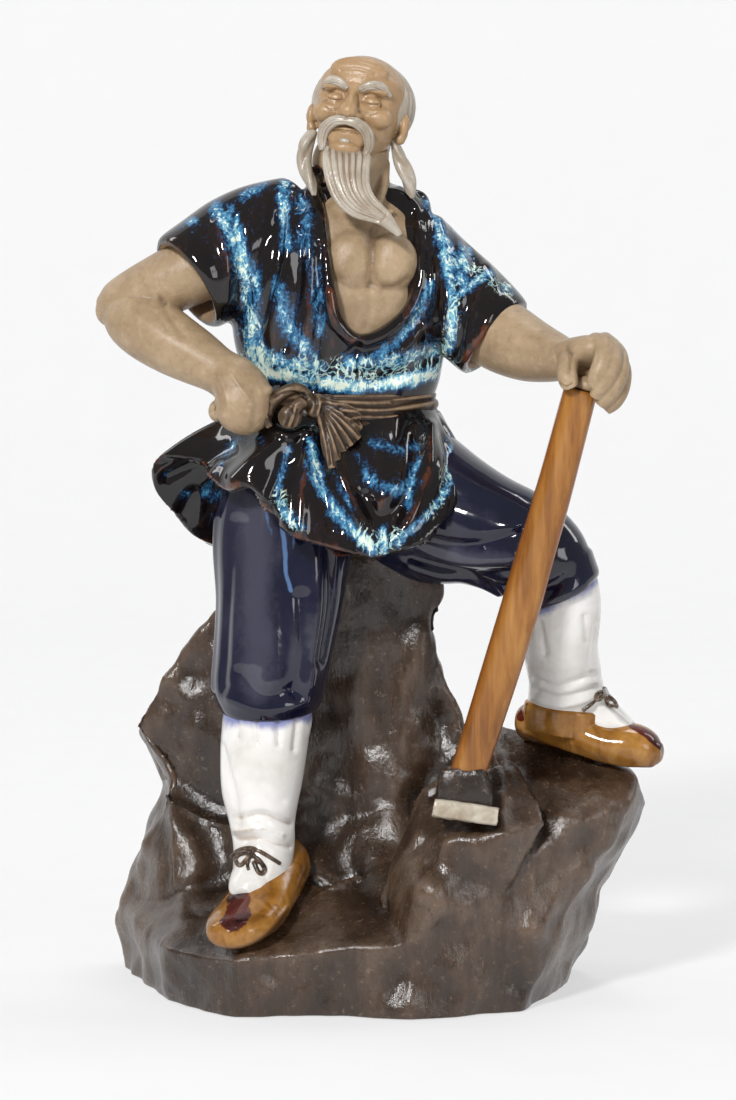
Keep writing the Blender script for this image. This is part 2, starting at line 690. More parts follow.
stockingStrokes = drawn("front", [
    (1.4, -0.9, (-49, 80), (-45, 66), (-44, 56)),
    (1.2, -1, (-44, 58), (-36, 60), (-27, 56)),
    (1, 0.7, (-44, 54), (-36, 55.5), (-30, 53)),
    (1.1, -1, (-45, 51.5), (-37, 52.5), (-27, 49)),
    (1.8, -0.6, (-36, 70), (-33, 66), (-30, 64)),
    (1, -0.8, (-44, 89), (-43.5, 84)),
    (1, -0.8, (-38, 89), (-37.5, 83)),
    (1, -0.9, (-31, 89), (-31, 82)),
    (1, -0.9, (-25, 89), (-26, 80)),
    (1.2, -0.9, (49, 101), (56, 99), (70, 104)),
    (1.1, -0.8, (50, 97), (58, 95.5), (71, 99)),
    (1, 0.6, (49, 94), (58, 92.5), (71, 96)),
    (1.2, -0.8, (68, 118), (67, 108), (68, 102)),
    (1.1, -0.7, (64, 122), (65, 114)),
    (1.1, -0.7, (50, 120), (52, 110)),
])


def makeStockings():
    mesh = modelled(stockingClay, stockingForms(), stockingStrokes)
    makeLaces(mesh)
    settle("stockings", mesh, stockingGlaze(), stockingClay["faces"])


def stockingGlaze():
    g = Glaze("stocking_glaze", roughness=0.14)
    at = g.place()
    relief = g.mark("relief")
    cloud = g.noise(60, 4, 0.6, at, 0.4)
    fine = g.noise(330, 4, 0.7, at)
    g.colour = g.ramp(cloud, [
        (0.3, (0.66, 0.63, 0.59)), (0.5, (0.78, 0.76, 0.73)), (0.75, (0.84, 0.835, 0.82))])
    thin = g.rise(relief + (fine - 0.5) * 0.4, 0.66, 0.95)
    g.coat(thin * 0.7, (0.38, 0.26, 0.18))
    crease = g.rise(0.5 - relief + (fine - 0.5) * 0.3, 0.1, 0.4)
    g.coat(crease * 0.6, (0.36, 0.25, 0.17))
    height = g.axis(2)
    leftHem = g.rise(height + (cloud - 0.5) * 0.012, 0.0862, 0.0895) * g.rise(0.02 - g.axis(0), 0.0, 0.01)
    slanted = height - (g.axis(0) - 0.0576) * 0.52
    rightHem = g.rise(slanted + (cloud - 0.5) * 0.012, 0.1248, 0.128) * g.rise(g.axis(0), 0.02, 0.03)
    g.coat((leftHem + rightHem) * 0.8, (0.07, 0.1, 0.36))
    return g.done(0.14 + fine * 0.06, g.bump(cloud, 0.0007, 0.3))


# Shoes

shoeClay = {"grain": 0.5, "soften": 0.7, "folds": (3.0, 0.5), "faces": 44000}


def shoeForms():
    leftShoe = loft([
        (-24.5, -3, 43.5, 2.6, 3.8), (-27, -6, 42.6, 6.6, 7.6), (-31, -14, 39, 8.8, 8.6),
        (-35.3, -24, 34.5, 10.2, 8), (-39.5, -33, 30, 11.4, 6.6), (-43.5, -41, 27.6, 10.6, 5.6),
        (-46.2, -46.5, 26.2, 7.5, 4.6), (-47.4, -49.4, 25.6, 3, 2.4),
    ], across=(1, -0.45, 0), sides=40)
    rightShoe = loft([
        (45.6, 5, 85, 3.5, 4), (47.5, 4, 85, 8, 6), (55, 1, 84.5, 9, 7), (64, -2, 82.5, 9.4, 7),
        (73, -5, 79.8, 9.6, 6.7), (81, -8, 79.0, 8.6, 6.8), (86.5, -10, 77.4, 6, 5),
        (89.2, -11, 77.2, 2.6, 2.6),
    ], across=(0.3, 1, 0), sides=40)
    cup = loft([
        (57.6, -2.6, 82, 11.5, 9.5), (58.4, -2.8, 86, 12.8, 10.6), (59, -3, 90, 13, 10.9),
        (59.1, -3, 91, 12.4, 10.2),
    ], across=(1, 0, 0), along=(0.16, 0, 0.99), sides=40)
    return [leftShoe, rightShoe, cup]


shoeStrokes = drawn("front", [
    (1, 0.6, (-56, 27.5), (-48, 22), (-38, 24), (-28, 32)),
    (0.9, 0.5, (46, 82), (58, 78), (72, 73.5), (86, 73)),
])


def makeShoes():
    mesh = modelled(shoeClay, shoeForms(), shoeStrokes)
    paint(mesh, "pool", drawn("front", [
        (4.8, 1.4, (-46.8, 35), (-43.6, 34), (-44.5, 32)),
        (1.7, 1.4, (80, 86.4), (85, 83.2), (89.6, 79)),
        (1.4, 1.1, (46.4, 94), (45.2, 87)),
    ]))
    paint(mesh, "sole", drawn("front", [
        (2.2, 1, (-57, 28), (-50, 21), (-38, 22.5), (-26, 32)),
        (2, 1, (44, 82), (58, 76), (72, 71.5), (90, 72)),
    ]))
    settle("shoes", mesh, shoeGlaze(), shoeClay["faces"])


def shoeGlaze():
    g = Glaze("shoe_glaze", roughness=0.12)
    at = g.place()
    flow = g.noise(110, 5, 0.65, g.swirled(g.place((1, 1, 0.5)), 60, 0.01), 0.8)
    fine = g.noise(420, 3, 0.6, at)
    g.colour = g.ramp(flow, [
        (0.3, (0.11, 0.042, 0.008)), (0.5, (0.27, 0.115, 0.02)), (0.72, (0.42, 0.21, 0.05))])
    edge = g.rise(g.mark("sole") + (flow - 0.5) * 0.6, 0.35, 0.8)
    g.coat(edge * 0.75, (0.05, 0.018, 0.006))
    pool = g.rise(g.mark("pool") + (g.noise(150, 4, 0.6, at) - 0.5) * 1.1, 0.55, 0.7)
    pooled = g.ramp(flow, [(0.35, (0.012, 0.003, 0.003)), (0.65, (0.1, 0.014, 0.008))])
    g.coat(pool, pooled)
    return g.done(0.11 + fine * 0.05, g.bump(flow, 0.0006, 0.25))


# Laces of the shoes

laceClay = {"grain": 0.3, "soften": 0.1, "proud": 0.3, "folds": (1.0, 0.2), "faces": 16000}
laces = [  # x and z of a line that lies on the stocking, and its radius
    ([(-46.0, 45.6), (-43.4, 48.4), (-39.5, 49.6), (-35.0, 47.8), (-30.4, 44.6)], 0.7),
    ([(-39.8, 48.0), (-42.6, 47.6), (-44.4, 45.4), (-43.0, 44.0), (-41.4, 45.6), (-39.8, 47.2)], 0.8),
    ([(-39.2, 47.6), (-36.8, 46.0), (-35.2, 43.4), (-36.6, 42.2), (-38.0, 44.2), (-39.2, 46.6)], 0.8),
    ([(-39.6, 47.4), (-40.6, 45.0), (-40.2, 43.2)], 0.6),
    ([(-39.9, 48.0), (-39.0, 47.2)], 1.1),
    ([(64.0, 90.6), (67.9, 93.6), (71.4, 96.2)], 0.7),
    ([(71.2, 96.4), (73.2, 95.4), (74.4, 93.0), (73.4, 91.4), (72.0, 92.6), (71.4, 95.4)], 0.65),
    ([(71.0, 96.0), (69.0, 96.4), (68.0, 94.8), (69.4, 93.6), (71.0, 95.0)], 0.55),
    ([(71.0, 96.6), (71.8, 95.6)], 1.1),
]


def makeLaces(stocking):
    forms = []
    for points, radius in laces:
        path = laidOn(stocking, [tuple(p) for p in flowing(points, 3)], laceClay["proud"])
        path = path[::2] if len(path) > 6 else path
        forms.append(strand(path, [radius] * len(path)))
    mesh = luted(forms, laceClay["grain"], laceClay["soften"])
    measureFolds(mesh, "relief", *laceClay["folds"])
    settle("laces", mesh, laceGlaze(), laceClay["faces"])


def laceGlaze():
    g = Glaze("lace_glaze", roughness=0.16)
    fine = g.noise(420, 4, 0.6)
    g.colour = g.ramp(fine, [
        (0.35, (0.022, 0.011, 0.007)), (0.55, (0.075, 0.045, 0.028)), (0.7, (0.3, 0.22, 0.15))])
    g.coat(g.rise(g.mark("relief"), 0.7, 1.0) * 0.5, (0.42, 0.33, 0.24))
    return g.done(0.16, g.bump(fine, 0.0003, 0.4))


# Jacket

jacketClay = {
    "grain": 0.68, "bodySoften": 3.0, "soften": 2.0, "folds": (2.6, 0.6), "faces": 180000, "cloth": 3.8,
}
cuffs = {
    "radius": 17.0, "depth": 11.0, "leftAxis": (-0.78, -0.36, -0.5), "rightAxis": (0.72, -0.3, -0.62),
    "left": (-58.5, -4, 224.8), "right": (35.5, -12, 208.5),
}
waist = {
    "x": -10.0, "y": 1.5, "z": 186.0, "wide": 26.5, "deep": 18.5, "height": 11.0, "proud": 2.4, "drop": 1.4,
}
neckOpening = [
    (-23, 262), (-18.5, 254.5), (-16.3, 246), (-15, 235), (-13.2, 224), (-10.8, 214.6), (-6.5, 209.4),
    (-1.9, 210.0), (3, 212.8), (7.5, 217), (10.8, 223), (12.4, 230.5), (12.6, 240), (12, 249.5), (12, 262),
]


def trunkRings(shrink):
    rows = [
        (-9.5, 3, 166, 28, 21), (-9.5, 2, 178, 27, 19.5),
        (waist["x"], waist["y"], waist["z"], waist["wide"], waist["deep"]), (-9.8, 1, 196, 30, 19.8),
        (-11, 0, 206, 33.8, 21.3), (-11.3, 0, 217, 34.6, 22.3), (-10, 1, 229, 34, 22.2),
        (-9.6, 3, 239, 31.5, 20), (-9.2, 4.5, 246.5, 25, 16.5), (-10, 5, 252.5, 16, 13),
        (-10.5, 4.5, 257, 10.5, 10.5), (-11.5, 4, 259, 8, 8),
    ]
    return [(x, y, z, wide - shrink, deep - shrink) for x, y, z, wide, deep in rows]


def trunkFront(x, z):  # how far forward the jacket lies there
    rows = np.array(trunkRings(0))
    cx, cy, wide, deep = (np.interp(z, rows[:, 2], rows[:, k]) for k in (0, 1, 3, 4))
    return cy - deep * math.sqrt(max(0.0, 1 - ((x - cx) / wide) ** 2))


def neckPrism():  # the open neck, cut through the front of the jacket
    outline = flowing(neckOpening, 3)
    count = len(outline)
    near = [(x, -60, z) for x, z in outline]
    far = [(x, -4, z) for x, z in outline]
    faces = [[k, (k + 1) % count, count + (k + 1) % count, count + k] for k in range(count)]
    faces += [list(range(count))[::-1], [count + k for k in range(count)]]
    return meshOf(near + far, faces)


def sleeve(stations, along):  # the rings run out to the cuff, turn over its rim and run back inside
    cloth = jacketClay["cloth"]
    x, y, z, wide, deep = stations[-1]
    out = Vector(along).normalized()
    rim = Vector((x, y, z)) + out * cloth * 0.45
    middle = Vector((x, y, z)) - out * cuffs["depth"] * 0.5
    inside = Vector((x, y, z)) - out * cuffs["depth"]
    turned = [
        (*rim, wide - cloth * 0.5, deep - cloth * 0.5), (x, y, z, wide - cloth, deep - cloth),
        (*middle, wide - cloth * 1.1, deep - cloth * 1.1), (*inside, wide - cloth * 1.3, deep - cloth * 1.3),
    ]
    return loft([*stations, *turned], across=(0.3, 1, 0), along=along, sides=48, perSpan=6)


def sleeves():
    r = cuffs["radius"]
    left = sleeve([
        (-23, 4, 246, 12.5, 13), (-29, 4, 243.8, 14.2, 14), (-36, 4, 240.4, 15.8, 15.5),
        (-44, 2.5, 235, r, r), (-52, -0.5, 229, r + 0.3, r + 0.3), (*cuffs["left"], r - 0.2, r - 0.2),
    ], cuffs["leftAxis"])
    right = sleeve([
        (4, 4, 238.5, 10, 11), (10.5, 3, 234.5, 13.3, 13.5), (18, -2, 225.5, 14.9, 15),
        (26.8, -7, 217, 16, 15.6), (*cuffs["right"], 15.8, 15),
    ], cuffs["rightAxis"])
    return [left, right]


hem = [  # the skirt's lower edge, seen from above, from the front towards the shaft's side and round
    (-2, -37, 141.5), (14, -36, 146.5), (24.5, -26, 157), (28, -8, 161), (27, 12, 153), (18, 30, 141),
    (-2, 38, 136), (-24, 38, 136), (-44, 30, 138), (-55, 18, 141), (-63, 12, 147.5), (-71.5, 6, 160.5),
    (-69, 0, 169.5), (-56, -8, 168), (-49, -24, 162), (-40, -33, 163.5), (-31, -36, 155), (-27, -37, 149),
    (-14, -38, 144.5),
]


def skirt():  # a thick sheet from the waist to the hem, with the flap that flies out at the hip
    edge = flowing(hem + hem[:1], 8)[:-1]
    count, levels = len(edge), 14
    middle = np.array([waist["x"], waist["y"], waist["z"]])
    way = np.arctan2(edge[:, 1] - middle[1], edge[:, 0] - middle[0])
    wide, deep = waist["wide"] - 1.0, waist["deep"] - 1.0
    x, y = middle[0] + wide * np.cos(way), middle[1] + deep * np.sin(way)
    top = np.stack([x, y, np.full(count, middle[2] + 2)], axis=1)
    out = edge - top
    out[:, 2] = 0
    out /= np.linalg.norm(out, axis=1)[:, None]
    steps = np.linspace(0, 1, levels + 1)
    rows = np.array([top * (1 - t) + edge * t + out * (3.4 * math.sin(math.pi * t)) for t in steps])
    around = np.roll(rows, -1, axis=1) - np.roll(rows, 1, axis=1)
    outward = np.cross(np.gradient(rows, axis=0), around)
    outward /= np.linalg.norm(outward, axis=2)[:, :, None]
    outward *= np.sign((outward * out[None]).sum(axis=2))[:, :, None]
    fall = steps[::-1, None, None]
    inner = rows - outward * jacketClay["cloth"] * (1 + 2.5 * fall**2)
    points = np.concatenate([rows.reshape(-1, 3), inner.reshape(-1, 3)])
    half = (levels + 1) * count
    faces = []
    for level in range(levels):
        for k in range(count):
            a, b = level * count + k, level * count + (k + 1) % count
            faces.append([a, b, b + count, a + count])
            faces.append([half + a + count, half + b + count, half + b, half + a])
    for k in range(count):
        a, b = k, (k + 1) % count
        faces.append([a, half + a, half + b, b])
        a, b = levels * count + k, levels * count + (k + 1) % count
        faces.append([a, b, half + b, half + a])
    return meshOf(points, faces)


def lapel():  # the rolled edge of the open neck
    path = [(-19.5, 4, 258.5)]
    for before, (x, z), after in zip(neckOpening, neckOpening[1:], neckOpening[2:]):
        out = Vector((after[1] - before[1], before[0] - after[0])).normalized() * 2.2
        path.append((x + out.x, trunkFront(x + out.x, z + out.y) - 0.2, z + out.y))
    path.append((9.5, 4, 252))
    return strand(path, [2.0] * len(path), across=(0, 1, 0), sides=20)


def collar():
    turn = np.linspace(math.radians(-20), math.radians(200), 9)
    path = [(-6.5 + 13.5 * math.cos(a), 3.5 + 11.5 * math.sin(a), 255.4 - 3.4 * math.cos(a)) for a in turn]
    return strand(path, [2.3] * len(path), across=(0, 0, 1), sides=20)


jacketStrokes = drawn("front", [
    (1.6, -1.6, (-30, 246), (-31, 232), (-35, 218), (-38, 208)),
    (2, 1.5, (-27, 250), (-28, 234), (-32, 214), (-32, 200)),
    (1.5, -1.3, (-24, 240), (-25, 222), (-29, 205)),
    (1.8, 1.2, (-22, 252), (-21, 232), (-22, 210), (-26, 196)),
    (1.4, -1.2, (-18, 236), (-18, 216), (-20, 198)),
    (1.8, 1, (-15, 222), (-14, 208), (-18, 194)),
    (1.4, -1.3, (-6, 206), (-12, 200), (-20, 192)),
    (2.4, 1.2, (16, 214), (8, 204), (-6, 200)),
    (1.8, -1.2, (20, 206), (12, 198), (0, 194)),
    (1.7, -1.4, (15, 244), (16, 230), (15, 214)),
    (1.8, 1.2, (19, 246), (21, 232), (21, 212), (18, 198)),
    (1.5, -1.2, (-44, 244), (-42, 232), (-43, 220)),
    (1.6, 1.1, (-50, 243), (-47, 232), (-47, 219)),
    (1.6, -1.3, (28, 240), (30, 228), (26, 214), (24, 202)),
    (1.8, 0.9, (34, 230), (36, 222), (32, 210), (27, 202)),
    (2.2, 1.8, (-12, 182), (-12, 168), (-6, 154), (0, 144)),
    (2.2, -1.8, (-16, 178), (-17, 164), (-14, 150)),
    (2.2, 1.6, (-20, 178), (-23, 164), (-24, 150)),
    (2, 1.6, (16, 180), (15, 166), (10, 153), (4, 146)),
    (2.2, -1.8, (12, 178), (10, 164), (4, 152)),
    (6.5, 2.2, (3, 172), (4, 166), (3, 160)),
    (2.4, -1.8, (-4, 160), (0, 154), (6, 158)),
    (2, -1.5, (21, 178), (22, 168), (18, 156)),
    (3, 1.8, (-30, 176), (-38, 170), (-44, 165)),
    (1.3, 1.6, (-35, 183), (-32.6, 179), (-28.2, 176.8), (-23, 178.6)),
    (2.2, -1.6, (-28, 170), (-32, 162), (-34, 156)),
    (2.4, -1.8, (-46, 174), (-56, 168), (-66, 163)),
    (2.6, -1.8, (-52, 160), (-58, 156), (-62, 150)),
    (2, 1.2, (-50, 168), (-56, 158), (-57, 148)),
]) + drawn("back", [
    (2.6, -1.6, (-34, 236), (-28, 214), (-24, 194)),
    (2.8, 1.4, (-22, 240), (-18, 216), (-16, 194)),
    (2.6, -1.3, (-8, 242), (-8, 218), (-9, 194)),
    (2.8, 1.4, (6, 240), (2, 216), (-1, 194)),
    (2.6, -1.6, (18, 234), (12, 212), (6, 194)),
    (3, 2, (-30, 180), (-34, 160), (-38, 142)),
    (3, -2, (-20, 180), (-23, 160), (-25, 140)),
    (3, 2, (-10, 180), (-11, 160), (-12, 140)),
    (3, -2, (0, 180), (2, 160), (4, 140)),
    (3, 2, (9, 180), (13, 162), (16, 146)),
]) + drawn("left", [
    (2.6, -1.6, (4, 182), (8, 164), (8, 148)),
    (2.6, 1.8, (14, 182), (20, 162), (20, 142)),
]) + drawn("right", [
    (2.4, -1.6, (-4, 180), (-8, 170), (-10, 162)),
    (2.4, 1.8, (8, 182), (12, 168), (14, 154)),
])

glazeRuns = drawn("front", [  # where the pale glaze ran
    (2.4, 0.8, (-35.8, 256), (-39.5, 253.6), (-41.9, 251.4)),
    (2.4, 0.9, (-29.3, 257.2), (-29, 246.8), (-28.4, 236)),
    (2.8, 0.8, (-50.9, 248.9), (-46.3, 241.3), (-42.6, 231.4), (-40.2, 222.8), (-41.4, 216)),
    (2.4, 0.8, (-45.7, 247.4), (-43.2, 238.2), (-38.9, 227.4), (-37.7, 219.7), (-40.8, 210.4)),
    (4, 0.9, (-40.2, 214.1), (-39.6, 205.8), (-35.9, 198.7)),
    (2.6, 0.66, (-23.2, 250.5), (-22.3, 241.3), (-20.4, 228.9), (-18.6, 219.7), (-17.4, 209.8)),
    (3, 0.7, (-30.9, 224.3), (-29.4, 215.1), (-26, 206.7), (-20.5, 203.6)),
    (2.2, 0.8, (-62.3, 244.6), (-57.4, 243.4)),
    (2.6, 1.25, (-35.9, 197.4), (-24.2, 195), (-10.3, 193.1), (4.3, 193.7), (17.3, 196.2)),
    (3.2, 0.85, (-8.1, 200.5), (4.3, 200.5), (16.6, 203.6)),
    (3, 0.85, (-37.1, 204.3), (-30.4, 200.5), (-18, 199.3)),
    (2, 0.95, (18.4, 243.7), (20.6, 232.6), (22.8, 219.7), (22.2, 204.9)),
    (2.2, 0.75, (16, 224.3), (11.4, 214.1), (5.5, 206.7), (-2.5, 201.2)),
    (2.2, 0.8, (15.9, 248.9), (20.6, 239.7), (22.8, 229.6)),
    (3.2, 0.8, (28.9, 237.3), (26.1, 231.4), (25.9, 225.9)),
    (1.8, 0.9, (23.7, 220.9), (30.8, 225.9), (36.6, 228.9)),
    (2.2, 0.7, (-48.4, 170.8), (-43.4, 176), (-36, 176)),
    (2, 0.85, (-27.9, 173.9), (-30.2, 164.5), (-30.6, 158.5), (-27.4, 153.6), (-23.6, 151.4)),
    (2.4, 0.95, (-21.1, 176.4), (-18.6, 164.5), (-13.1, 156), (-6.9, 149), (-1.2, 144)),
    (2.4, 0.7, (-5.6, 171.7), (-1.9, 164.5), (5.2, 162.1), (10.5, 163.9)),
    (2, 0.6, (-1.9, 176.4), (5.2, 173.9), (11.4, 174.5)),
    (2, 0.9, (22.4, 176.4), (22.8, 167), (19.6, 159.5), (13.4, 152.8), (5.4, 146)),
    (2.2, 1, (1.4, 149.2), (1.8, 144)),
    (1.6, 0.75, (12.5, 170.5), (9.6, 164), (9.2, 157)),
    (1.2, 0.6, (-15, 172), (-11.5, 162), (-7.6, 156)),
    (2, 0.8, (39.1, 223.4), (43.8, 222.2)),
]) + drawn("back", [
    (3.2, 0.8, (-30, 250), (-27, 226), (-24, 200)),
    (3, 0.7, (-12, 252), (-10, 226), (-12, 198)),
    (3, 0.8, (8, 250), (5, 226), (2, 200)),
    (3, 1.1, (-34, 196), (-10, 194), (14, 196)),
    (3, 0.8, (-36, 174), (-42, 156), (-44, 142)),
    (3.4, 0.9, (-14, 178), (-16, 156), (-18, 138)),
    (3, 0.8, (8, 178), (12, 158), (14, 146)),
]) + drawn("left", [
    (3, 0.7, (4, 246), (2, 234), (4, 222)),
    (3, 0.9, (16, 200), (16, 194), (10, 192)),
    (3, 0.8, (10, 176), (18, 158), (22, 144)),
]) + drawn("right", [
    (3, 0.7, (-2, 240), (2, 222), (0, 206)),
    (3, 0.9, (6, 200), (10, 194), (14, 200)),
    (3, 0.8, (2, 178), (6, 168), (8, 158)),
])


glazeWebs = drawn("front", [  # where it drew out into threads over the dark glaze
    (4.6, 0.9, (-40, 202), (-32, 199.5), (-20, 198), (-8, 197.5), (6, 198.5), (18, 201)),
    (2.6, 0.7, (21, 205), (23, 214), (23.5, 224)),
    (2.6, 0.85, (-30.5, 160), (-28, 154.5), (-24.5, 151.5)),
    (3.4, 0.95, (-6, 149.5), (0, 145), (6, 148)),
    (2.2, 0.7, (21.4, 168), (20, 160), (15, 154)),
    (2.8, 0.75, (-44.5, 238), (-41.5, 228), (-40, 216), (-40, 208)),
    (2.6, 0.75, (25, 231), (33, 226.5), (40, 223)),
]) + drawn("back", [
    (4.6, 0.9, (-38, 200), (-10, 198), (18, 200)),
    (3, 0.8, (-44, 149), (-20, 144), (10, 149)),
]) + drawn("left", [
    (4, 0.9, (-14, 200), (6, 198), (22, 200)),
]) + drawn("right", [
    (4, 0.9, (-14, 200), (6, 198), (22, 200)),
])


def makeJacket():
    trunk = cut(loft(trunkRings(0), sides=56), neckPrism())
    body = luted([trunk, *sleeves()], jacketClay["grain"], jacketClay["bodySoften"])
    mesh = modelled(jacketClay, [body, skirt(), lapel(), collar()], jacketStrokes)
    paint(mesh, "run", glazeRuns)
    paint(mesh, "web", glazeWebs)
    store(mesh, "lining", liningShare(mesh))
    settle("jacket", mesh, jacketGlaze(), jacketClay["faces"])


def liningShare(mesh):  # the bare inside of the cuffs
    at, _ = read(mesh)
    share = np.zeros(len(at))
    for side, radius in (("left", cuffs["radius"] - 2.2), ("right", cuffs["radius"] - 3.4)):
        out = np.array(Vector(cuffs[side + "Axis"]).normalized())
        offset = at - np.array(cuffs[side])
        along = offset @ out
        apart = np.linalg.norm(offset - along[:, None] * out, axis=1)
        inside = (along > -14) & (along < 1.5) & (apart < radius)
        share = np.maximum(share, np.where(inside, np.clip((radius - apart) / 0.8, 0, 1), 0))
    return share


def jacketGlaze():
    g = Glaze("jacket_glaze", roughness=0.07, bending=1.55)
    relief, run, web, lining = (g.mark(name) for name in ("relief", "run", "web", "lining"))
    sagged = g.swirled(g.place((1, 1, 0.42)), 60, 0.014)
    cloud = g.noise(62, 4, 0.6, sagged, 0.4)
    wisps = g.noise(310, 5, 0.72, g.swirled(g.place((1, 1, 0.32)), 130, 0.006), 0.9)
    grain = g.noise(1000, 3, 0.7)
    g.colour = g.ramp(cloud + (grain - 0.5) * 0.3, [
        (0.3, (0.0035, 0.0025, 0.003)), (0.55, (0.0075, 0.005, 0.005)), (0.75, (0.018, 0.0095, 0.0075))])
    rust = g.rise(relief + (cloud - 0.5) * 1.1 + (wisps - 0.5) * 0.9, 0.68, 1.0)
    g.coat(rust * 0.85, (0.12, 0.031, 0.008))
    flow = run + (cloud - 0.5) * 1.4 + (wisps - 0.5) * 1.9 + (grain - 0.5) * 1.3
    flow = flow + g.rise(0.5 - relief, 0.0, 0.4) * 0.1
    g.coat(g.rise(flow, 0.25, 0.58) * 0.9, (0.006, 0.022, 0.062))
    g.coat(g.rise(flow, 0.48, 0.84) * 0.9, (0.04, 0.17, 0.33))
    g.coat(g.rise(flow, 0.82, 1.12), (0.2, 0.47, 0.58))
    edge = g.cells(400, g.swirled(g.swirled(g.place((1, 1, 0.7)), 90, 0.011), 380, 0.0042))
    thread = g.rise(wisps * 0.34 - edge, 0.02, 0.13)
    threads = g.rise(web + (wisps - 0.5) * 1.6 + thread * 0.8, 1.12, 1.5)
    pale = g.ramp(wisps, [(0.42, (0.13, 0.36, 0.44)), (0.56, (0.5, 0.66, 0.58)), (0.68, (0.74, 0.8, 0.66))])
    g.coat(threads * 0.92, pale)
    holes = g.rise(edge, 0.3, 0.45)
    cream = g.rise(flow + thread * 0.3 - holes * 0.3, 1.16, 1.46)
    g.coat(cream, (0.72, 0.8, 0.68))
    worn = g.rise(relief, 0.92, 1.0) * g.rise(grain, 0.42, 0.6)
    g.coat(worn * 0.6, (0.16, 0.06, 0.02))
    bare = g.blend(g.rise(grain, 0.4, 0.65), (0.26, 0.175, 0.105), (0.34, 0.235, 0.145))
    g.coat(lining, bare)
    rough = 0.065 + (wisps - 0.5) * 0.05 + lining * 0.5
    return g.done(rough, g.bump(cloud, 0.0006, 0.22))


# Sash

sashClay = {"grain": 0.45, "soften": 0.5, "folds": (1.6, 0.35), "faces": 80000}


def sashForms():
    x, y, z = waist["x"], waist["y"], waist["z"] - waist["drop"]
    wide, deep, half = waist["wide"] + waist["proud"], waist["deep"] + waist["proud"], waist["height"] / 2
    band = loft([
        (x, y, z - half - 0.5, wide - 2, deep - 1.6), (x, y, z - half, wide + 0.8, deep + 2.0),
        (x, y, z - half * 0.4, wide + 0.5, deep + 1.1), (x, y, z + half * 0.5, wide, deep),
        (x, y, z + half, wide - 1.2, deep - 1.2), (x, y, z + half + 0.5, wide - 4, deep - 4),
    ], sides=64, along=(0, 0, 1))
    knot = ball((-18.9, -24.2, 187.2), (3.7, 3.4, 3.9))
    arch = loft([
        (-21, -23.6, 189.6, 1.8, 1.6), (-24.5, -24.6, 192.6, 2.7, 1.8), (-29, -24.6, 191.4, 3.1, 2.0),
        (-33, -23.6, 187.4, 2.9, 2.0), (-34.6, -24, 183.4, 2.3, 1.8), (-33.4, -25, 180.6, 1.2, 1.0),
    ], across=(0, -1, 0.2), sides=24)
    inner = [
        ball((-27.2, -26.0, 184.0), (3.8, 2.2, 3.7), (0, -25, 0)),
        strand([(-20, -25, 188.6), (-23.4, -26.2, 188.4), (-26.4, -26.8, 186)], [1.6, 2.0, 2.0]),
    ]
    return [band, knot, arch, *inner, *[strand(path, [1.3, 1.5, 1.8, 1.2]) for path in sashPleats()]]


sashTail = [  # where the pleats of the tail end
    (-5.6, 183.4), (-5.4, 180.2), (-6.0, 177.2), (-8.2, 175.2), (-10.6, 173.4), (-12.6, 170.8),
    (-14.2, 168.4), (-15.6, 171.6),
]


def sashPleats():
    pleats = []
    for k, (endX, endZ) in enumerate(sashTail):
        start = Vector((-16.8 - 0.15 * k, -25.2, 188.4 - 0.6 * k))
        end = Vector((endX, -23.4 - (184 - endZ) * 0.44, endZ))
        middle = start.lerp(end, 0.36) + Vector((0.3, -1.1, 0.9))
        late = start.lerp(end, 0.72) + Vector((0.3, -0.9, 0.6))
        pleats.append(np.array([start, middle, late, end]))
    return pleats


sashStrokes = drawn("front", [
    (0.6, -0.7, (-14, 189.4), (0, 189), (17, 190.6)),
    (0.6, -0.8, (-12, 187.2), (2, 186.6), (17, 188.2)),
    (0.6, -0.7, (-10, 185), (2, 184.4), (17, 185.6)),
    (0.6, -0.6, (-8, 182.8), (4, 182.4), (17, 183.2)),
    (0.45, -0.6, (-26.4, 187.4), (-27.4, 184.4), (-28.4, 181.4)),
    (0.4, -0.5, (-24.8, 186.4), (-25.4, 183.6), (-26.4, 181)),
    (0.5, -0.5, (-22, 190), (-27, 191.8), (-32, 190.4)),
    (0.5, -0.5, (-33.8, 188), (-33.6, 184.6), (-31, 182)),
    (0.6, -0.6, (-23, 191), (-21, 188), (-22, 185.6)),
    (0.6, -0.6, (-20.4, 192), (-19, 188.6), (-19.6, 185)),
]) + drawn("back", [
    (0.7, -0.8, (-34, 188.5), (-10, 188.2), (14, 188.5)),
    (0.7, -0.8, (-34, 185), (-10, 184.4), (14, 185)),
]) + drawn("left", [
    (0.7, -0.7, (-16, 188), (0, 188), (16, 188)),
]) + drawn("right", [
    (0.7, -0.7, (-16, 188), (0, 188), (16, 188)),
    (0.7, -0.7, (-16, 184.6), (0, 184.6), (16, 184.6)),
])


def makeSash():
    mesh = luted(sashForms(), sashClay["grain"], sashClay["soften"])
    carve(mesh, sashStrokes)
    pleats = sashPleats()
    between = [((a + b) / 2)[:, [0, 2]] for a, b in zip(pleats, pleats[1:])]
    carve(mesh, drawn("front", [(0.42, -0.7, *line) for line in between]))
    measureFolds(mesh, "relief", *sashClay["folds"])
    settle("sash", mesh, sashGlaze(), sashClay["faces"])


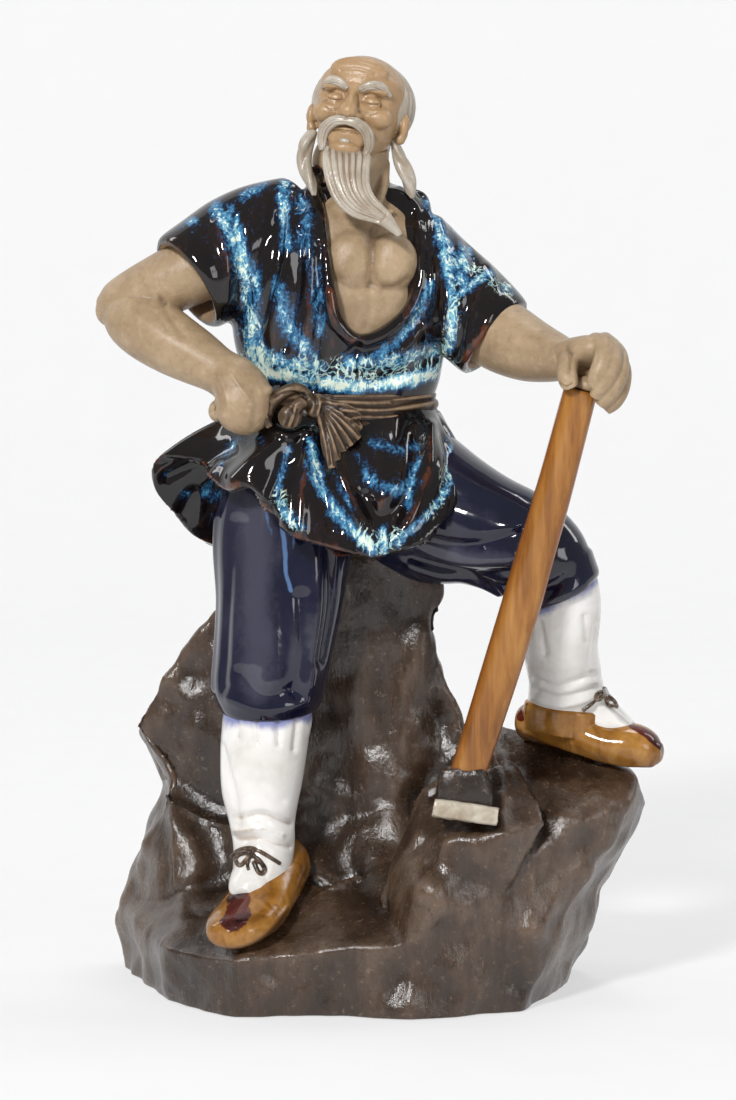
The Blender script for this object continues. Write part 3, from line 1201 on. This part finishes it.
def sashGlaze():
    g = Glaze("sash_glaze", roughness=0.3, specular=0.35)
    at = g.place()
    relief = g.mark("relief")
    fine = g.noise(300, 5, 0.65, at)
    cloud = g.noise(80, 4, 0.6, at)
    g.colour = g.ramp(cloud, [
        (0.3, (0.03, 0.018, 0.011)), (0.55, (0.06, 0.036, 0.021)), (0.8, (0.1, 0.06, 0.035))])
    g.coat(g.rise(0.5 - relief, 0.0, 0.36) * 0.85, (0.01, 0.0055, 0.0035))
    g.coat(g.rise(relief + (fine - 0.5) * 0.4, 0.55, 0.85) * 0.8, (0.3, 0.2, 0.12))
    return g.done(0.34 + (fine - 0.5) * 0.3, g.bump(fine, 0.0003, 0.5))


# Bare clay: chest, arms and hands

chestClay = {"grain": 0.5, "soften": 3.6, "folds": (2.4, 0.5), "faces": 60000}
hipArmClay = {"grain": 0.5, "soften": 1.8, "folds": (2.0, 0.4), "faces": 60000}
shaftArmClay = {"grain": 0.45, "soften": 0.7, "folds": (1.8, 0.4), "faces": 70000}


def chestForms():
    trunk = loft(trunkRings(jacketClay["cloth"] + 0.6)[3:-2], sides=48)
    breast = [ball((-8.4, -12.6, 231.4), (9, 6.2, 9.2)), ball((4.2, -12.6, 231), (8.2, 6.2, 9.2))]
    neck = loft([
        (-6, 3, 240, 12, 11), (-6, 2, 250, 10.5, 10), (-6, 1, 258, 9.5, 9.5), (-5.8, 0, 266, 9.3, 9.5),
    ], sides=36)
    cords = [
        strand([(-13.4, -2, 262), (-10.4, -6, 254), (-6, -9.6, 246)], [1.4, 1.6, 1.1]),
        strand([(2.6, -2, 262), (1.4, -6.4, 254), (-1, -9.8, 246)], [1.4, 1.8, 1.2]),
    ]
    collarBones = [
        strand([(-5.5, -8.8, 245.5), (-10, -8.2, 247), (-14, -6, 248)], [1.0, 1.5, 1.1]),
        strand([(-1.5, -9.2, 245), (2, -9.0, 246), (5, -7.4, 246.8)], [1.0, 1.4, 0.9]),
    ]
    nape = ball((-12.4, 5.2, 261.5), (8.4, 5.2, 9.5))
    return [trunk, *breast, neck, nape, *cords, *collarBones]


chestStrokes = drawn("front", [
    (1.6, -1, (-2.2, 241), (-2, 232), (-2.4, 224)),
    (1.3, -0.6, (-14, 226.4), (-9, 223.6), (-4.4, 223.4), (-2, 224.8), (1, 223.4), (5.4, 223.6), (9, 226)),
    (3, 0.5, (-12, 229), (-8, 227), (-4, 228)),
    (3, 0.5, (0, 228), (4, 227), (8, 229)),
    (1.2, -0.4, (-2.4, 221), (-3, 216), (-4, 211)),
    (2, -0.7, (-6, 245), (-2.6, 243), (1, 245)),
])


def makeChest():
    mesh = modelled(chestClay, chestForms(), chestStrokes)
    settle("chest", mesh, bareClay("chest_clay"), chestClay["faces"])


def hipArmForms():
    upper = loft([
        (-46, 3, 234, 10, 10), (-55, 1, 229.5, 10.8, 10.8), (-65, 2, 224.6, 10.6, 10.2),
        (-75, 4, 219.6, 9.6, 9.4), (-82.5, 6, 216.2, 7.4, 7.8), (-87, 7.2, 214.6, 3.8, 4.6),
    ], across=(0, 1, 0), sides=40)
    fore = loft([
        (-82, 6, 215.6, 6.4, 6.4), (-77.5, 2, 213.2, 9.4, 9.4), (-71, -3, 209.6, 10.8, 10.4),
        (-63.5, -8, 205.2, 10.2, 9.8), (-56, -12, 201.2, 8.7, 8.7), (-49.5, -16, 197.6, 7.2, 7.4),
        (-45, -18.5, 195, 7.4, 8),
    ], across=(0, 1, 0.3), sides=40)
    elbow = ball((-84.2, 6.6, 215.2), (4.8, 5.6, 5.2))
    fist = [
        loft([
            (-46, -18, 197, 7.4, 7), (-42.5, -21, 192.5, 8.8, 7.4), (-41.5, -22.5, 188, 9.4, 7.6),
            (-42.6, -22.5, 183.4, 8.4, 7), (-43.8, -21.5, 180, 5, 4.4),
        ], across=(1, 0.3, 0), sides=32),
        ball((-50, -20, 185.4), (2.6, 4, 3.4)),
    ]
    knuckles = [ball((-34.8 - 0.5 * k, -23.6 + 1.1 * k, 192 - 3.3 * k), (2.5, 3.0, 2.0)) for k in range(4)]
    fingers = [
        strand([(-35.6 - 0.5 * k, -22 + k, 191.6 - 3.3 * k), (-34 - 0.4 * k, -18 + k, 190.6 - 3.3 * k),
                (-35.4, -13 + k, 190 - 3.2 * k)], [2.2, 2.2, 2.0])
        for k in range(4)
    ]
    return [upper, fore, elbow, *fist, *knuckles, *fingers]


hipArmStrokes = drawn("front", [
    (1.1, -0.45, (-68, 220), (-65, 215), (-62, 210.5), (-60, 208.5)),
    (0.6, -0.2, (-72, 218.5), (-69, 217.4), (-66, 218)),
    (0.5, -0.15, (-70, 216), (-67, 213), (-65, 210)),
    (3, 0.5, (-76, 214), (-66, 208), (-56, 202)),
    (0.9, -0.8, (-52, 190.6), (-50.5, 188), (-51, 186)),
    (1.4, -0.5, (-38, 192), (-37.5, 187), (-38.5, 181)),
    (0.6, 0.35, (-46, 198), (-43, 194), (-40, 190)),
    (0.6, 0.3, (-49, 196), (-47, 191), (-46, 186)),
])


def makeHipArm():
    mesh = modelled(hipArmClay, hipArmForms(), hipArmStrokes)
    settle("hip_arm", mesh, bareClay("arm_clay"), hipArmClay["faces"])


fingerRadii = [3.1, 3.2, 3.1, 2.9, 2.1]
shaftFingers = [  # from the knuckle to the tip, the forefinger first
    [(65.4, -46, 208.2), (68.2, -51, 207.4), (67.8, -55, 203.4), (66.0, -56.3, 198.8), (64.4, -55.6, 195.4)],
    [(68, -45, 208.6), (70.3, -50, 206.2), (70.1, -54.4, 201.4), (67.5, -55.8, 196), (65.4, -54.8, 192)],
    [(70, -43, 207.2), (72.5, -48, 203.8), (72.2, -52.5, 198.4), (69.3, -54.3, 193), (66.8, -53.8, 189.6)],
    [(71.2, -41, 204.8), (73.6, -45.5, 199.9), (73.1, -49.5, 194.7), (71, -51.8, 190.8),
     (68.4, -51.8, 188.2)],
]


def shaftArmForms():
    arm = loft([
        (24, -4, 218, 9.5, 9.5), (31, -9, 212.5, 10.6, 10.4), (38, -16, 208.5, 11.4, 11),
        (46, -25, 204.8, 10.0, 10.2), (53, -33, 203, 7.9, 8.6), (58.4, -39, 202.2, 6.0, 7.2),
        (62, -43, 202.8, 6.0, 7.4),
    ], across=(0, 0, 1), sides=40)
    elbow = ball((35, -15, 214), (7.5, 7, 6))
    palm = [
        loft([
            (56, -37.5, 202.8, 5.4, 6.4), (61.5, -41.5, 204.6, 4.9, 7.8), (65.9, -44.5, 205.2, 4.8, 8.2),
            (69.3, -45.5, 203.0, 4.2, 7.4), (71.2, -45.5, 198.2, 3.1, 5.6), (71.2, -45.6, 194.2, 2, 3.6),
        ], across=(0, 0.3, 1), sides=32),
        ball((60.5, -39.5, 199), (4.6, 5.4, 6)),
        ball((61.5, -45.5, 205.2), (5, 5, 3.4)),
        ball((65, -40, 198), (6, 4, 8)),
        ball((64.2, -46.5, 195.2), (5.5, 4.4, 3.0)),
    ]
    thumb = strand(
        [(59, -42, 205), (57.6, -47.5, 202.2), (57, -51.4, 199.4), (57.4, -53.2, 196.9), (58.2, -53, 195)],
        [3.5, 3.5, 3.2, 3.1, 2.4])
    return [arm, elbow, *palm, thumb, *[strand(points, fingerRadii, sides=20) for points in shaftFingers]]


shaftArmStrokes = drawn("front", [
    (1, -0.6, (56.5, 207), (58.5, 204), (58, 200)),
    (0.5, -0.6, (54.5, 196), (56.6, 195), (58.4, 196.2)),
    (2.4, 0.5, (30, 214), (34, 211), (36, 205)),
])


def makeShaftArm():
    mesh = luted(shaftArmForms(), shaftArmClay["grain"], shaftArmClay["soften"])
    carve(mesh, shaftArmStrokes)
    mesh = cut(mesh, shaftHole())
    measureFolds(mesh, "relief", *shaftArmClay["folds"])
    settle("shaft_arm", mesh, bareClay("hand_clay"), shaftArmClay["faces"])


def bareClay(name, waxed=False):  # the waxed face is a little warmer and has more shine
    g = Glaze(name, roughness=0.5, specular=0.5 if waxed else 0.4)
    at = g.place()
    relief = g.mark("relief")
    cloud = g.noise(55, 4, 0.6, at)
    grit = g.noise(900, 4, 0.7, at)
    g.colour = g.ramp(cloud, [
        (0.3, (0.29, 0.2, 0.118)), (0.55, (0.365, 0.26, 0.156)), (0.8, (0.42, 0.305, 0.188))])
    mottle = g.noise(240, 5, 0.7, at)
    g.coat(g.rise(mottle, 0.5, 0.72) * 0.5, (0.5, 0.375, 0.25))
    g.coat(g.rise(0.5 - mottle, 0.0, 0.2) * 0.5, (0.22, 0.145, 0.085))
    g.coat(g.rise(0.5 - relief, 0.02, 0.4) * 0.8, (0.115, 0.068, 0.036))
    g.coat(g.rise(relief, 0.6, 0.95) * 0.35, (0.48, 0.36, 0.235))
    g.coat(g.rise(grit, 0.6, 0.72) * 0.3, (0.19, 0.12, 0.07))
    g.coat(g.rise(0.42 - grit, 0.0, 0.1) * 0.25, (0.48, 0.36, 0.25))
    if waxed:
        g.coat(0.6, (0.37, 0.215, 0.095))
    rough = (0.3 if waxed else 0.38) + (grit - 0.5) * 0.3
    return g.done(rough, g.bump(grit, 0.0003, 0.5, g.bump(mottle, 0.0004, 0.35)))


# Head, hair and beard

head = {
    "centre": (-5.8, 0.0, 278.0), "turn": -12.0, "raise": 14.0, "lean": 7.0, "broad": 1.09,
    "grain": 0.33, "soften": 0.35, "boneSoften": 0.8, "folds": (1.2, 0.22), "faces": 110000,
}
hairClay = {"grain": 0.34, "folds": (1.1, 0.25), "faces": 70000}
lipHairClay = {"grain": 0.34, "soften": 0.2, "folds": (0.9, 0.2), "faces": 36000}
beardClay = {"grain": 0.34, "soften": 0.1, "folds": (1.2, 0.3), "faces": 60000}


def onHead(mesh):  # a form laid out round the middle of the head, set in its place and tilt
    angles = [math.radians(a) for a in (-head["raise"], head["lean"], head["turn"])]
    place = Matrix.Translation(Vector(head["centre"]) * mm) @ Euler(angles).to_matrix().to_4x4()
    mesh.transform(place @ Matrix.Diagonal((head["broad"], 1, 1, 1)))
    return mesh


def faceForms():
    skull = ball((0, 2, 4), (13.2, 15, 13.4))
    face = loft([
        (0, 0.5, 12, 9, 9.5), (0, 0, 8, 12.3, 13), (0, 0, 1, 12.4, 13), (0, -0.6, -5, 11.6, 12.4),
        (0, -1.8, -10, 9.8, 11.4), (0, -3.2, -14, 7.2, 9.6), (0, -4.6, -17, 4.2, 6.6),
        (0, -5.2, -18.2, 2, 4),
    ], sides=48)
    nose = loft([
        (0, -12.2, 4.2, 1.7, 1.8), (0, -13.2, 1.4, 1.7, 2.1), (0, -14.6, -1.6, 2.1, 2.4),
        (0, -15.8, -4.2, 2.6, 2.5), (0, -15.6, -6.0, 2.1, 1.7),
    ], sides=28)
    forms = [
        skull, face, nose, ball((0, -11.0, 3.8), (9.8, 2.8, 2.2)), ball((0, -9.6, 10), (8.6, 3.4, 4.6)),
        ball((0, -10.2, -10.8), (6.8, 4.1, 4.8)), ball((0, -11.4, -15.2), (4.8, 3.5, 3.4)),
    ]
    forms += bothSides(lambda side: ball((2.5 * side, -14.2, -5.2), (1.5, 1.7, 1.3)))
    forms += bothSides(lambda side: ball((7.2 * side, -8.4, -3.6), (4.4, 3.7, 3.8)))
    forms += bothSides(ear)
    return forms


def lidsAndLips():
    lips = [ball((0, -13.4, -9.6), (3.6, 1.3, 0.8)), ball((0, -13.3, -10.9), (3.2, 1.4, 0.9))]
    return lips + bothSides(lambda side: ball((5.1 * side, -10.2, 0.5), (2.7, 2.1, 2.0)))


def ear(side):
    shell = ball((13.3 * side, 1.6, -3.4), (1.8, 3.1, 5.0), (0, 0, 16 * side))
    return finished(merged([shell, ball((13.1 * side, 0.8, -7.4), (1.5, 1.8, 1.9))]))


socketStrokes = drawn("front", [
    (1.8, -1.3, (3.2, 1), (5.2, 0.8), (7.4, 1)),
], (1, -1)) + drawn("front", [
    (0.8, -0.4, (-2.6, -12.9), (0, -13.1), (2.6, -12.9)),
])

faceStrokes = drawn("front", [
    (0.5, -0.28, (-5, 9.2), (0, 10), (5, 9.2)),
    (0.5, -0.28, (-5.4, 11.8), (0, 12.8), (5.4, 11.8)),
    (0.3, -0.7, (-3.6, -10.2), (-1.8, -10.1), (0, -10.4), (1.8, -10.1), (3.6, -10.2)),
]) + drawn("front", [
    (0.28, -0.7, (2.8, 0.1), (5, -0.7), (7.5, 0)),
    (0.3, -0.35, (3, 2.3), (5.2, 2.9), (7.8, 2)),
    (0.4, -0.28, (3, -2.7), (5.2, -3.4), (7.4, -2.5)),
    (0.55, -0.5, (3.6, -4.4), (5.6, -6.8), (6.8, -10)),
    (0.5, -0.6, (1.1, -6.5), (1.9, -6.6)),
], (1, -1)) + drawn("right", [
    (0.7, -0.9, (0.8, 0), (2, -1.2), (1.8, -4.2), (0.6, -5.8)),
]) + drawn("left", [
    (0.7, -0.9, (0.8, 0), (2, -1.2), (1.8, -4.2), (0.6, -5.8)),
])


def makeFace():
    bones = carve(luted(faceForms(), head["grain"], head["boneSoften"]), socketStrokes)
    mesh = modelled(head, [bones, *lidsAndLips()], faceStrokes)
    settle("face", onHead(mesh), bareClay("face_clay", True), head["faces"])


def lipAndBrowHair():
    brow = [(1.6, -13.4, 3.2), (4.4, -13.5, 5.0), (7.4, -12.0, 5.4), (10.2, -9.0, 3.4)]
    lip = [(0.1, -16.3, -7.3), (3.2, -15.8, -7.7), (6, -13.9, -9.8), (6.9, -12.2, -13.2), (6.2, -12.2, -16.8)]
    forms = []
    for path, radii in ((brow, [0.9, 1.5, 1.5, 0.6]), (lip, [1.4, 1.7, 1.8, 1.5, 0.9])):
        forms += bothSides(lambda side: strand([(x * side, y, z) for x, y, z in path], radii))
    return [*forms, ball((0, -13.9, -13.2), (1.7, 0.9, 1.0))]


lipAndBrowStrokes = drawn("front", [
    (0.26, -0.3, (2, 3.8), (5, 5.4), (9, 4.6)),
    (0.26, -0.3, (2.4, 2.8), (5.2, 4.4), (9.4, 3.6)),
    (0.28, -0.36, (0.4, -7.3), (3.4, -7.7), (6.1, -10), (6.9, -13.4), (6.2, -17)),
    (0.24, -0.32, (0.3, -6.5), (3.2, -6.8), (6.8, -9.2), (7.9, -13.2), (7.2, -16.6)),
    (0.24, -0.32, (0.4, -8.2), (3, -8.7), (5.3, -10.8), (6, -13.8), (5.5, -16.6)),
    (0.24, -0.26, (2.2, 2), (5.2, 3.4), (9.6, 2.8)),
], (1, -1))


def backHair():
    fringe = ball((0, 5.0, 2.4), (15.2, 13.6, 14.9))
    nape = [(0, 10, -6, 9.5, 7), (0, 10.5, -12, 8.2, 5.6), (0, 10, -17, 6, 3.6), (0, 9.4, -20, 3, 2)]
    return [fringe, loft(nape, sides=36)]


sideCombs = [(0.45, -0.45, (y, 12), (y - 0.5, 4), (y, -5)) for y in (1, 3.2, 5.4, 7.6, 9.8, 12, 14.2)]
backHairStrokes = drawn("back", [
    (0.45, -0.5, (x, 14 - abs(x) * 0.3), (x * 1.05, 4), (x * 0.9, -8), (x * 0.5, -18))
    for x in range(-12, 13, 2)
]) + drawn("right", sideCombs) + drawn("left", sideCombs)

locks = {
    "left": [
        (-20.0, -3, 271.6), (-22.3, -3.5, 267.8), (-23.1, -4, 263.7), (-22.4, -5.5, 259.5),
        (-20.9, -7.5, 255.4), (-19.9, -9.5, 251.6),
    ],
    "leftRadii": [1.0, 1.45, 1.45, 1.35, 1.1, 0.5],
    "right": [
        (4.8, -2, 268.8), (6.3, -2, 264.6), (7.9, -2.5, 260.6), (9.2, -3, 256.8), (10.1, -4, 253.6),
        (10.8, -5, 250.6),
    ],
    "rightRadii": [0.6, 1.2, 1.55, 1.45, 1.1, 0.45],
}


def lock(path, radii, side):  # three strands twisted a little round one line
    path, swing = np.array(path, float), np.array(radii) * 0.85
    forms = []
    for k in range(3):
        turn = 2.1 * k + np.linspace(0, 3.4, len(path))
        shift = np.stack([np.cos(turn) * swing * side, np.sin(turn) * swing, 0 * turn], axis=1)
        forms.append(strand(path + shift, radii))
    return forms


def makeHair():
    cap = luted(backHair(), hairClay["grain"], 0.5)
    carve(cap, backHairStrokes)
    tufts = [*lock(locks["left"], locks["leftRadii"], -1), *lock(locks["right"], locks["rightRadii"], 1)]
    tufts = luted(tufts, hairClay["grain"], 0.15)
    mesh = luted([onHead(cap), tufts], hairClay["grain"], 0.05)
    measureFolds(mesh, "relief", *hairClay["folds"])
    settle("hair", mesh, hairGlaze(), hairClay["faces"])


beardEdges = {  # the two edges of the beard, from the chin to the tip
    "outer": [
        (-15.6, -14.2, 265.8), (-16.0, -16.3, 263.6), (-15.0, -19.3, 256.8), (-12.3, -21.6, 250.6),
        (-7.2, -23.4, 246.2), (0.2, -24.7, 243.9), (6.3, -25.5, 239.6),
    ],
    "inner": [
        (-3.9, -14.2, 265.8), (-3.5, -16.6, 263.6), (-4.0, -19.2, 258.8), (-3.7, -21.5, 254.6),
        (-1.4, -23.4, 250.5), (2.9, -24.6, 246.3), (7.2, -25.0, 240.0),
    ],
    "radii": [0.6, 1.25, 1.4, 1.3, 1.1, 0.85, 0.45],
    "strands": 7,
}


def beardPaths():
    outer, inner = np.array(beardEdges["outer"]), np.array(beardEdges["inner"])
    paths = []
    for share in np.linspace(0, 1, beardEdges["strands"]):
        path = outer * (1 - share) + inner * share
        path[:, 1] -= math.sin(math.pi * share) * np.array([2.2, 2.2, 2.4, 2.2, 1.6, 1.0, 0.3])
        path[0, 2] += 0.9 * math.cos(5 * share)
        paths.append(path)
    return paths


def makeBeard():
    onFace = modelled(lipHairClay, lipAndBrowHair(), lipAndBrowStrokes)
    paths = beardPaths()
    strands = [strand(path, beardEdges["radii"], sides=16) for path in paths]
    middle = [(-10, -15.5, 264), (-9.4, -19, 257), (-7.4, -21.5, 251.4), (-3, -23.5, 248)]
    core = strand(middle, [5.4, 4.4, 2.8, 1.2], flat=0.4)
    mesh = luted([*strands, core], beardClay["grain"], beardClay["soften"])
    between = [(a + b)[:, [0, 2]] / 2 for a, b in zip(paths, paths[1:])]
    carve(mesh, drawn("front", [(0.38, -0.6, *line[:-1]) for line in between]))
    carve(mesh, drawn("front", [(0.2, -0.25, *path[:-1, [0, 2]]) for path in paths]))
    measureFolds(mesh, "relief", *beardClay["folds"])
    settle("face_hair", onHead(onFace), hairGlaze(), lipHairClay["faces"])
    settle("beard", mesh, hairGlaze(), beardClay["faces"])


def hairGlaze():
    g = Glaze("hair_glaze", roughness=0.28)
    at = g.place()
    relief = g.mark("relief")
    cloud = g.noise(110, 4, 0.6, at)
    fine = g.noise(700, 3, 0.6, at)
    g.colour = g.ramp(cloud, [
        (0.3, (0.27, 0.215, 0.155)), (0.5, (0.38, 0.33, 0.265)), (0.75, (0.5, 0.46, 0.4))])
    groove = g.rise(0.5 - relief + (fine - 0.5) * 0.2, -0.04, 0.34)
    g.coat(groove * 0.9, (0.25, 0.165, 0.1))
    g.coat(g.rise(relief + (fine - 0.5) * 0.3, 0.8, 1.0) * 0.45, (0.4, 0.3, 0.19))
    return g.done(0.3 + (fine - 0.5) * 0.16, g.bump(fine, 0.00015, 0.3))


# Tool

shaftRod = {
    "top": (61.4, -47.5, 194.0), "foot": (27.2, -38.6, 74.0), "bow": 1.1,
    "wide": 5.7, "deep": 4.7, "clearance": 0.35,
}
toolHead = {
    "wide": 19.0, "tall": 5.6, "tilt": 8.4, "bar": (26.8, -44.6, 63.8),
    "grain": 0.4, "faces": 30000, "barGrain": 0.3, "barFaces": 16000,
}


def shaftLine(spare):  # the bowed middle line, a little longer at both ends
    foot, top = np.array(shaftRod["foot"]), np.array(shaftRod["top"])
    length = np.linalg.norm(top - foot)
    run = (top - foot) / length
    side = np.cross(run, (0, -1, 0))
    side = side / np.linalg.norm(side) * (-1 if side[0] < 0 else 1)
    rows = []
    for at in np.linspace(-spare, length + spare, 7):
        t = at / length
        rows.append(foot + run * at + side * shaftRod["bow"] * 4 * t * (1 - t))
    return np.array(rows)


def shaftForm(spare=0.0, sides=20, perSpan=2):
    path = shaftLine(spare)
    swell = np.interp(np.linspace(0, 1, len(path)), [0, 0.45, 1], [0.96, 1.08, 0.9])
    wide, deep = shaftRod["wide"], shaftRod["deep"]
    stations = [(*p, wide * k + spare, deep * k + spare) for p, k in zip(path, swell)]
    return loft(stations, sides=sides, perSpan=perSpan, power=2.5)


def shaftHole():
    return shaftForm(shaftRod["clearance"])


def makeShaft():
    mesh = shaftForm(sides=56, perSpan=24)
    roughen(mesh, 14.0, 0.12, seed=5)
    mesh.materials.append(shaftGlaze())
    for face in mesh.polygons:
        face.use_smooth = len(face.vertices) == 4
    rod = standing("shaft", mesh)
    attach(rod, "root")
    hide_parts("tool_shaft")
    print("shaft", len(mesh.polygons), "faces", flush=True)


def shaftGlaze():
    g = Glaze("shaft_glaze", roughness=0.13)
    streaks = g.noise(300, 5, 0.65, g.swirled(g.place((1, 1, 0.05)), 40, 0.004), 0.3)
    cloud = g.noise(36, 4, 0.6, g.place((1, 1, 0.5)))
    g.colour = g.ramp(streaks + (cloud - 0.5) * 0.5, [
        (0.3, (0.16, 0.055, 0.008)), (0.5, (0.285, 0.112, 0.019)), (0.7, (0.4, 0.19, 0.045))])
    across = g.node("SeparateXYZ", {}, {0: g.node("NewGeometry", out=1)}, out=0)
    side = g.rise(across, 0.35, 0.9) + g.rise(0.0 - across, 0.45, 0.95)
    g.coat(side * 0.7, (0.24, 0.07, 0.008))
    return g.done(0.12 + (streaks - 0.5) * 0.08, g.bump(streaks, 0.0003, 0.3))


def makeToolHead():
    tilt = math.radians(toolHead["tilt"])
    across = Vector((math.cos(tilt), 0, -math.sin(tilt)))
    half = toolHead["wide"] / 2
    block = loft([
        (26.9, -38.8, 62, half - 1.0, 5.2), (26.6, -39, 68, half - 0.8, 5.8),
        (26.0, -39, 74, half - 1.8, 5.4), (25.7, -38.6, 77, half - 3, 4.6),
    ], across=across, along=(-0.1, 0.05, 1), sides=36, perSpan=6, power=6)
    mesh = luted([block], toolHead["grain"], 0.3)
    mesh = cut(mesh, shaftHole())
    roughen(mesh, 4.0, 0.3, seed=8)
    measureFolds(mesh, "relief", 1.6, 0.3)
    settle("tool_head", mesh, rockGlaze(), toolHead["faces"])
    middle = Vector(toolHead["bar"])
    tall = toolHead["tall"] / 2
    ends = ((-half, tall - 0.7), (0.8 - half, tall), (half - 0.8, tall), (half, tall - 0.7))
    bar = loft([(*(middle + across * out), size, size) for out, size in ends],
               across=(0, 0.2, 1), along=tuple(across), sides=28, perSpan=4, power=6)
    mesh = luted([bar], toolHead["barGrain"], 0.3)
    roughen(mesh, 3.0, 0.25, seed=9)
    measureFolds(mesh, "relief", 1.2, 0.2)
    settle("tool_bar", mesh, barGlaze(), toolHead["barFaces"])


def barGlaze():
    g = Glaze("bar_glaze", roughness=0.3)
    at = g.place()
    cloud = g.noise(150, 5, 0.65, at, 0.5)
    g.colour = g.ramp(cloud, [(0.3, (0.3, 0.24, 0.17)), (0.55, (0.5, 0.45, 0.36)), (0.75, (0.62, 0.6, 0.53))])
    g.coat(g.rise(g.mark("relief"), 0.66, 0.95) * 0.6, (0.24, 0.15, 0.09))
    return g.done(0.3, g.bump(cloud, 0.0004, 0.4))


# Studio

camera = {"aim": (-3.15, 0.0, 140.0), "distance": 1400.0, "elevation": 6.0, "lens": 145.4}
lamps = {  # place, aim, size and power
    "key": ((-0.55, -1.35, 1.05), (0, 0, 0.15), (0.22, 0.22), 24),
    "fill": ((1.2, -1.3, 0.6), (0, 0, 0.15), (0.7, 0.7), 6),
    "top": ((0.2, 0.25, 1.4), (0, 0, 0.1), (0.4, 0.3), 3),
    "wall_left": ((-1.1, 0.5, 1.1), (0, 1.7, 0.5), (0.4, 1.0), 7),
    "wall_right": ((1.1, 0.5, 1.1), (0, 1.7, 0.5), (0.4, 1.0), 7),
}
worldLight = 0.25
paper = {"half": 3.0, "bend": 0.9, "radius": 0.7, "wall": 1.6, "height": 3.0, "seen": 0.58, "below": 0.0003}


def setCamera():
    lens = bpy.data.cameras.new("camera")
    lens.lens = camera["lens"]
    lens.sensor_width = 36
    lens.clip_end = 50
    eye = standing("camera", lens)
    rise = math.radians(camera["elevation"])
    back = Vector((0, -math.cos(rise), math.sin(rise))) * camera["distance"]
    eye.location = (Vector(camera["aim"]) + back) * mm
    eye.rotation_euler = (-back).to_track_quat("-Z", "Y").to_euler()
    bpy.context.scene.camera = eye


def softbox(name, place, aim, size, power):
    data = bpy.data.lights.new(name, "AREA")
    data.shape = "RECTANGLE"
    data.size, data.size_y = size
    data.energy = power
    lamp = standing(name, data)
    lamp.location = place
    lamp.rotation_euler = (Vector(place) - Vector(aim)).to_track_quat("Z", "Y").to_euler()


def setStudio():
    for name, lamp in lamps.items():
        softbox(name, *lamp)
    world = bpy.data.worlds.new("studio")
    world.use_nodes = True
    sky = world.node_tree.nodes["Background"]
    sky.inputs["Color"].default_value = (1, 1, 1, 1)
    sky.inputs["Strength"].default_value = worldLight
    bpy.context.scene.world = world
    bpy.context.scene.view_settings.view_transform = "Standard"


def setFloor():  # a sheet of paper on the table that sweeps up behind
    half, bend, radius = paper["half"], paper["bend"], paper["radius"]
    profile = [(-half, 0.0), (bend, 0.0)]
    for turn in np.linspace(0, math.pi / 2, 24)[1:]:
        profile.append((bend + radius * math.sin(turn), radius * (1 - math.cos(turn))))
    profile.append((paper["wall"], paper["height"]))
    points = [(x, y, z) for y, z in profile for x in (-half, half)]
    faces = [(2 * k, 2 * k + 1, 2 * k + 3, 2 * k + 2) for k in range(len(profile) - 1)]
    mesh = bpy.data.meshes.new("paper")
    mesh.from_pydata(points, [], faces)
    for face in mesh.polygons:
        face.use_smooth = True
    g = Glaze("floor_paper", roughness=0.9, specular=0.1)
    grain = g.noise(40, 2, 0.5)
    g.colour = g.ramp(grain, [(0.3, (0.84, 0.84, 0.85)), (0.7, (0.86, 0.86, 0.87))])
    g.done()
    # the camera sees it paler than it is, and so do metal and glass
    seen = g.node("LightPath", out=0) + g.node("LightPath", out=3) + g.node("LightPath", out=6)
    bright = g.node("Emission", {}, {"Color": (0.962, 0.962, 0.966, 1), "Strength": 1.0})
    mixed = g.node("MixShader", {}, {0: seen * paper["seen"], 1: Wire(g, g.shader.outputs[0]), 2: bright})
    g.join(mixed, g.tree.nodes["Material Output"].inputs["Surface"])
    mesh.materials.append(g.material)
    floor = standing("paper", mesh)
    floor.location.z = -paper["below"]


for make in (
    makeRock, makeTrousers, makeStockings, makeShoes, makeJacket, makeSash, makeChest, makeHipArm,
    makeShaftArm, makeFace, makeHair, makeBeard, makeShaft, makeToolHead,
):
    make()
setFloor()
setStudio()
setCamera()
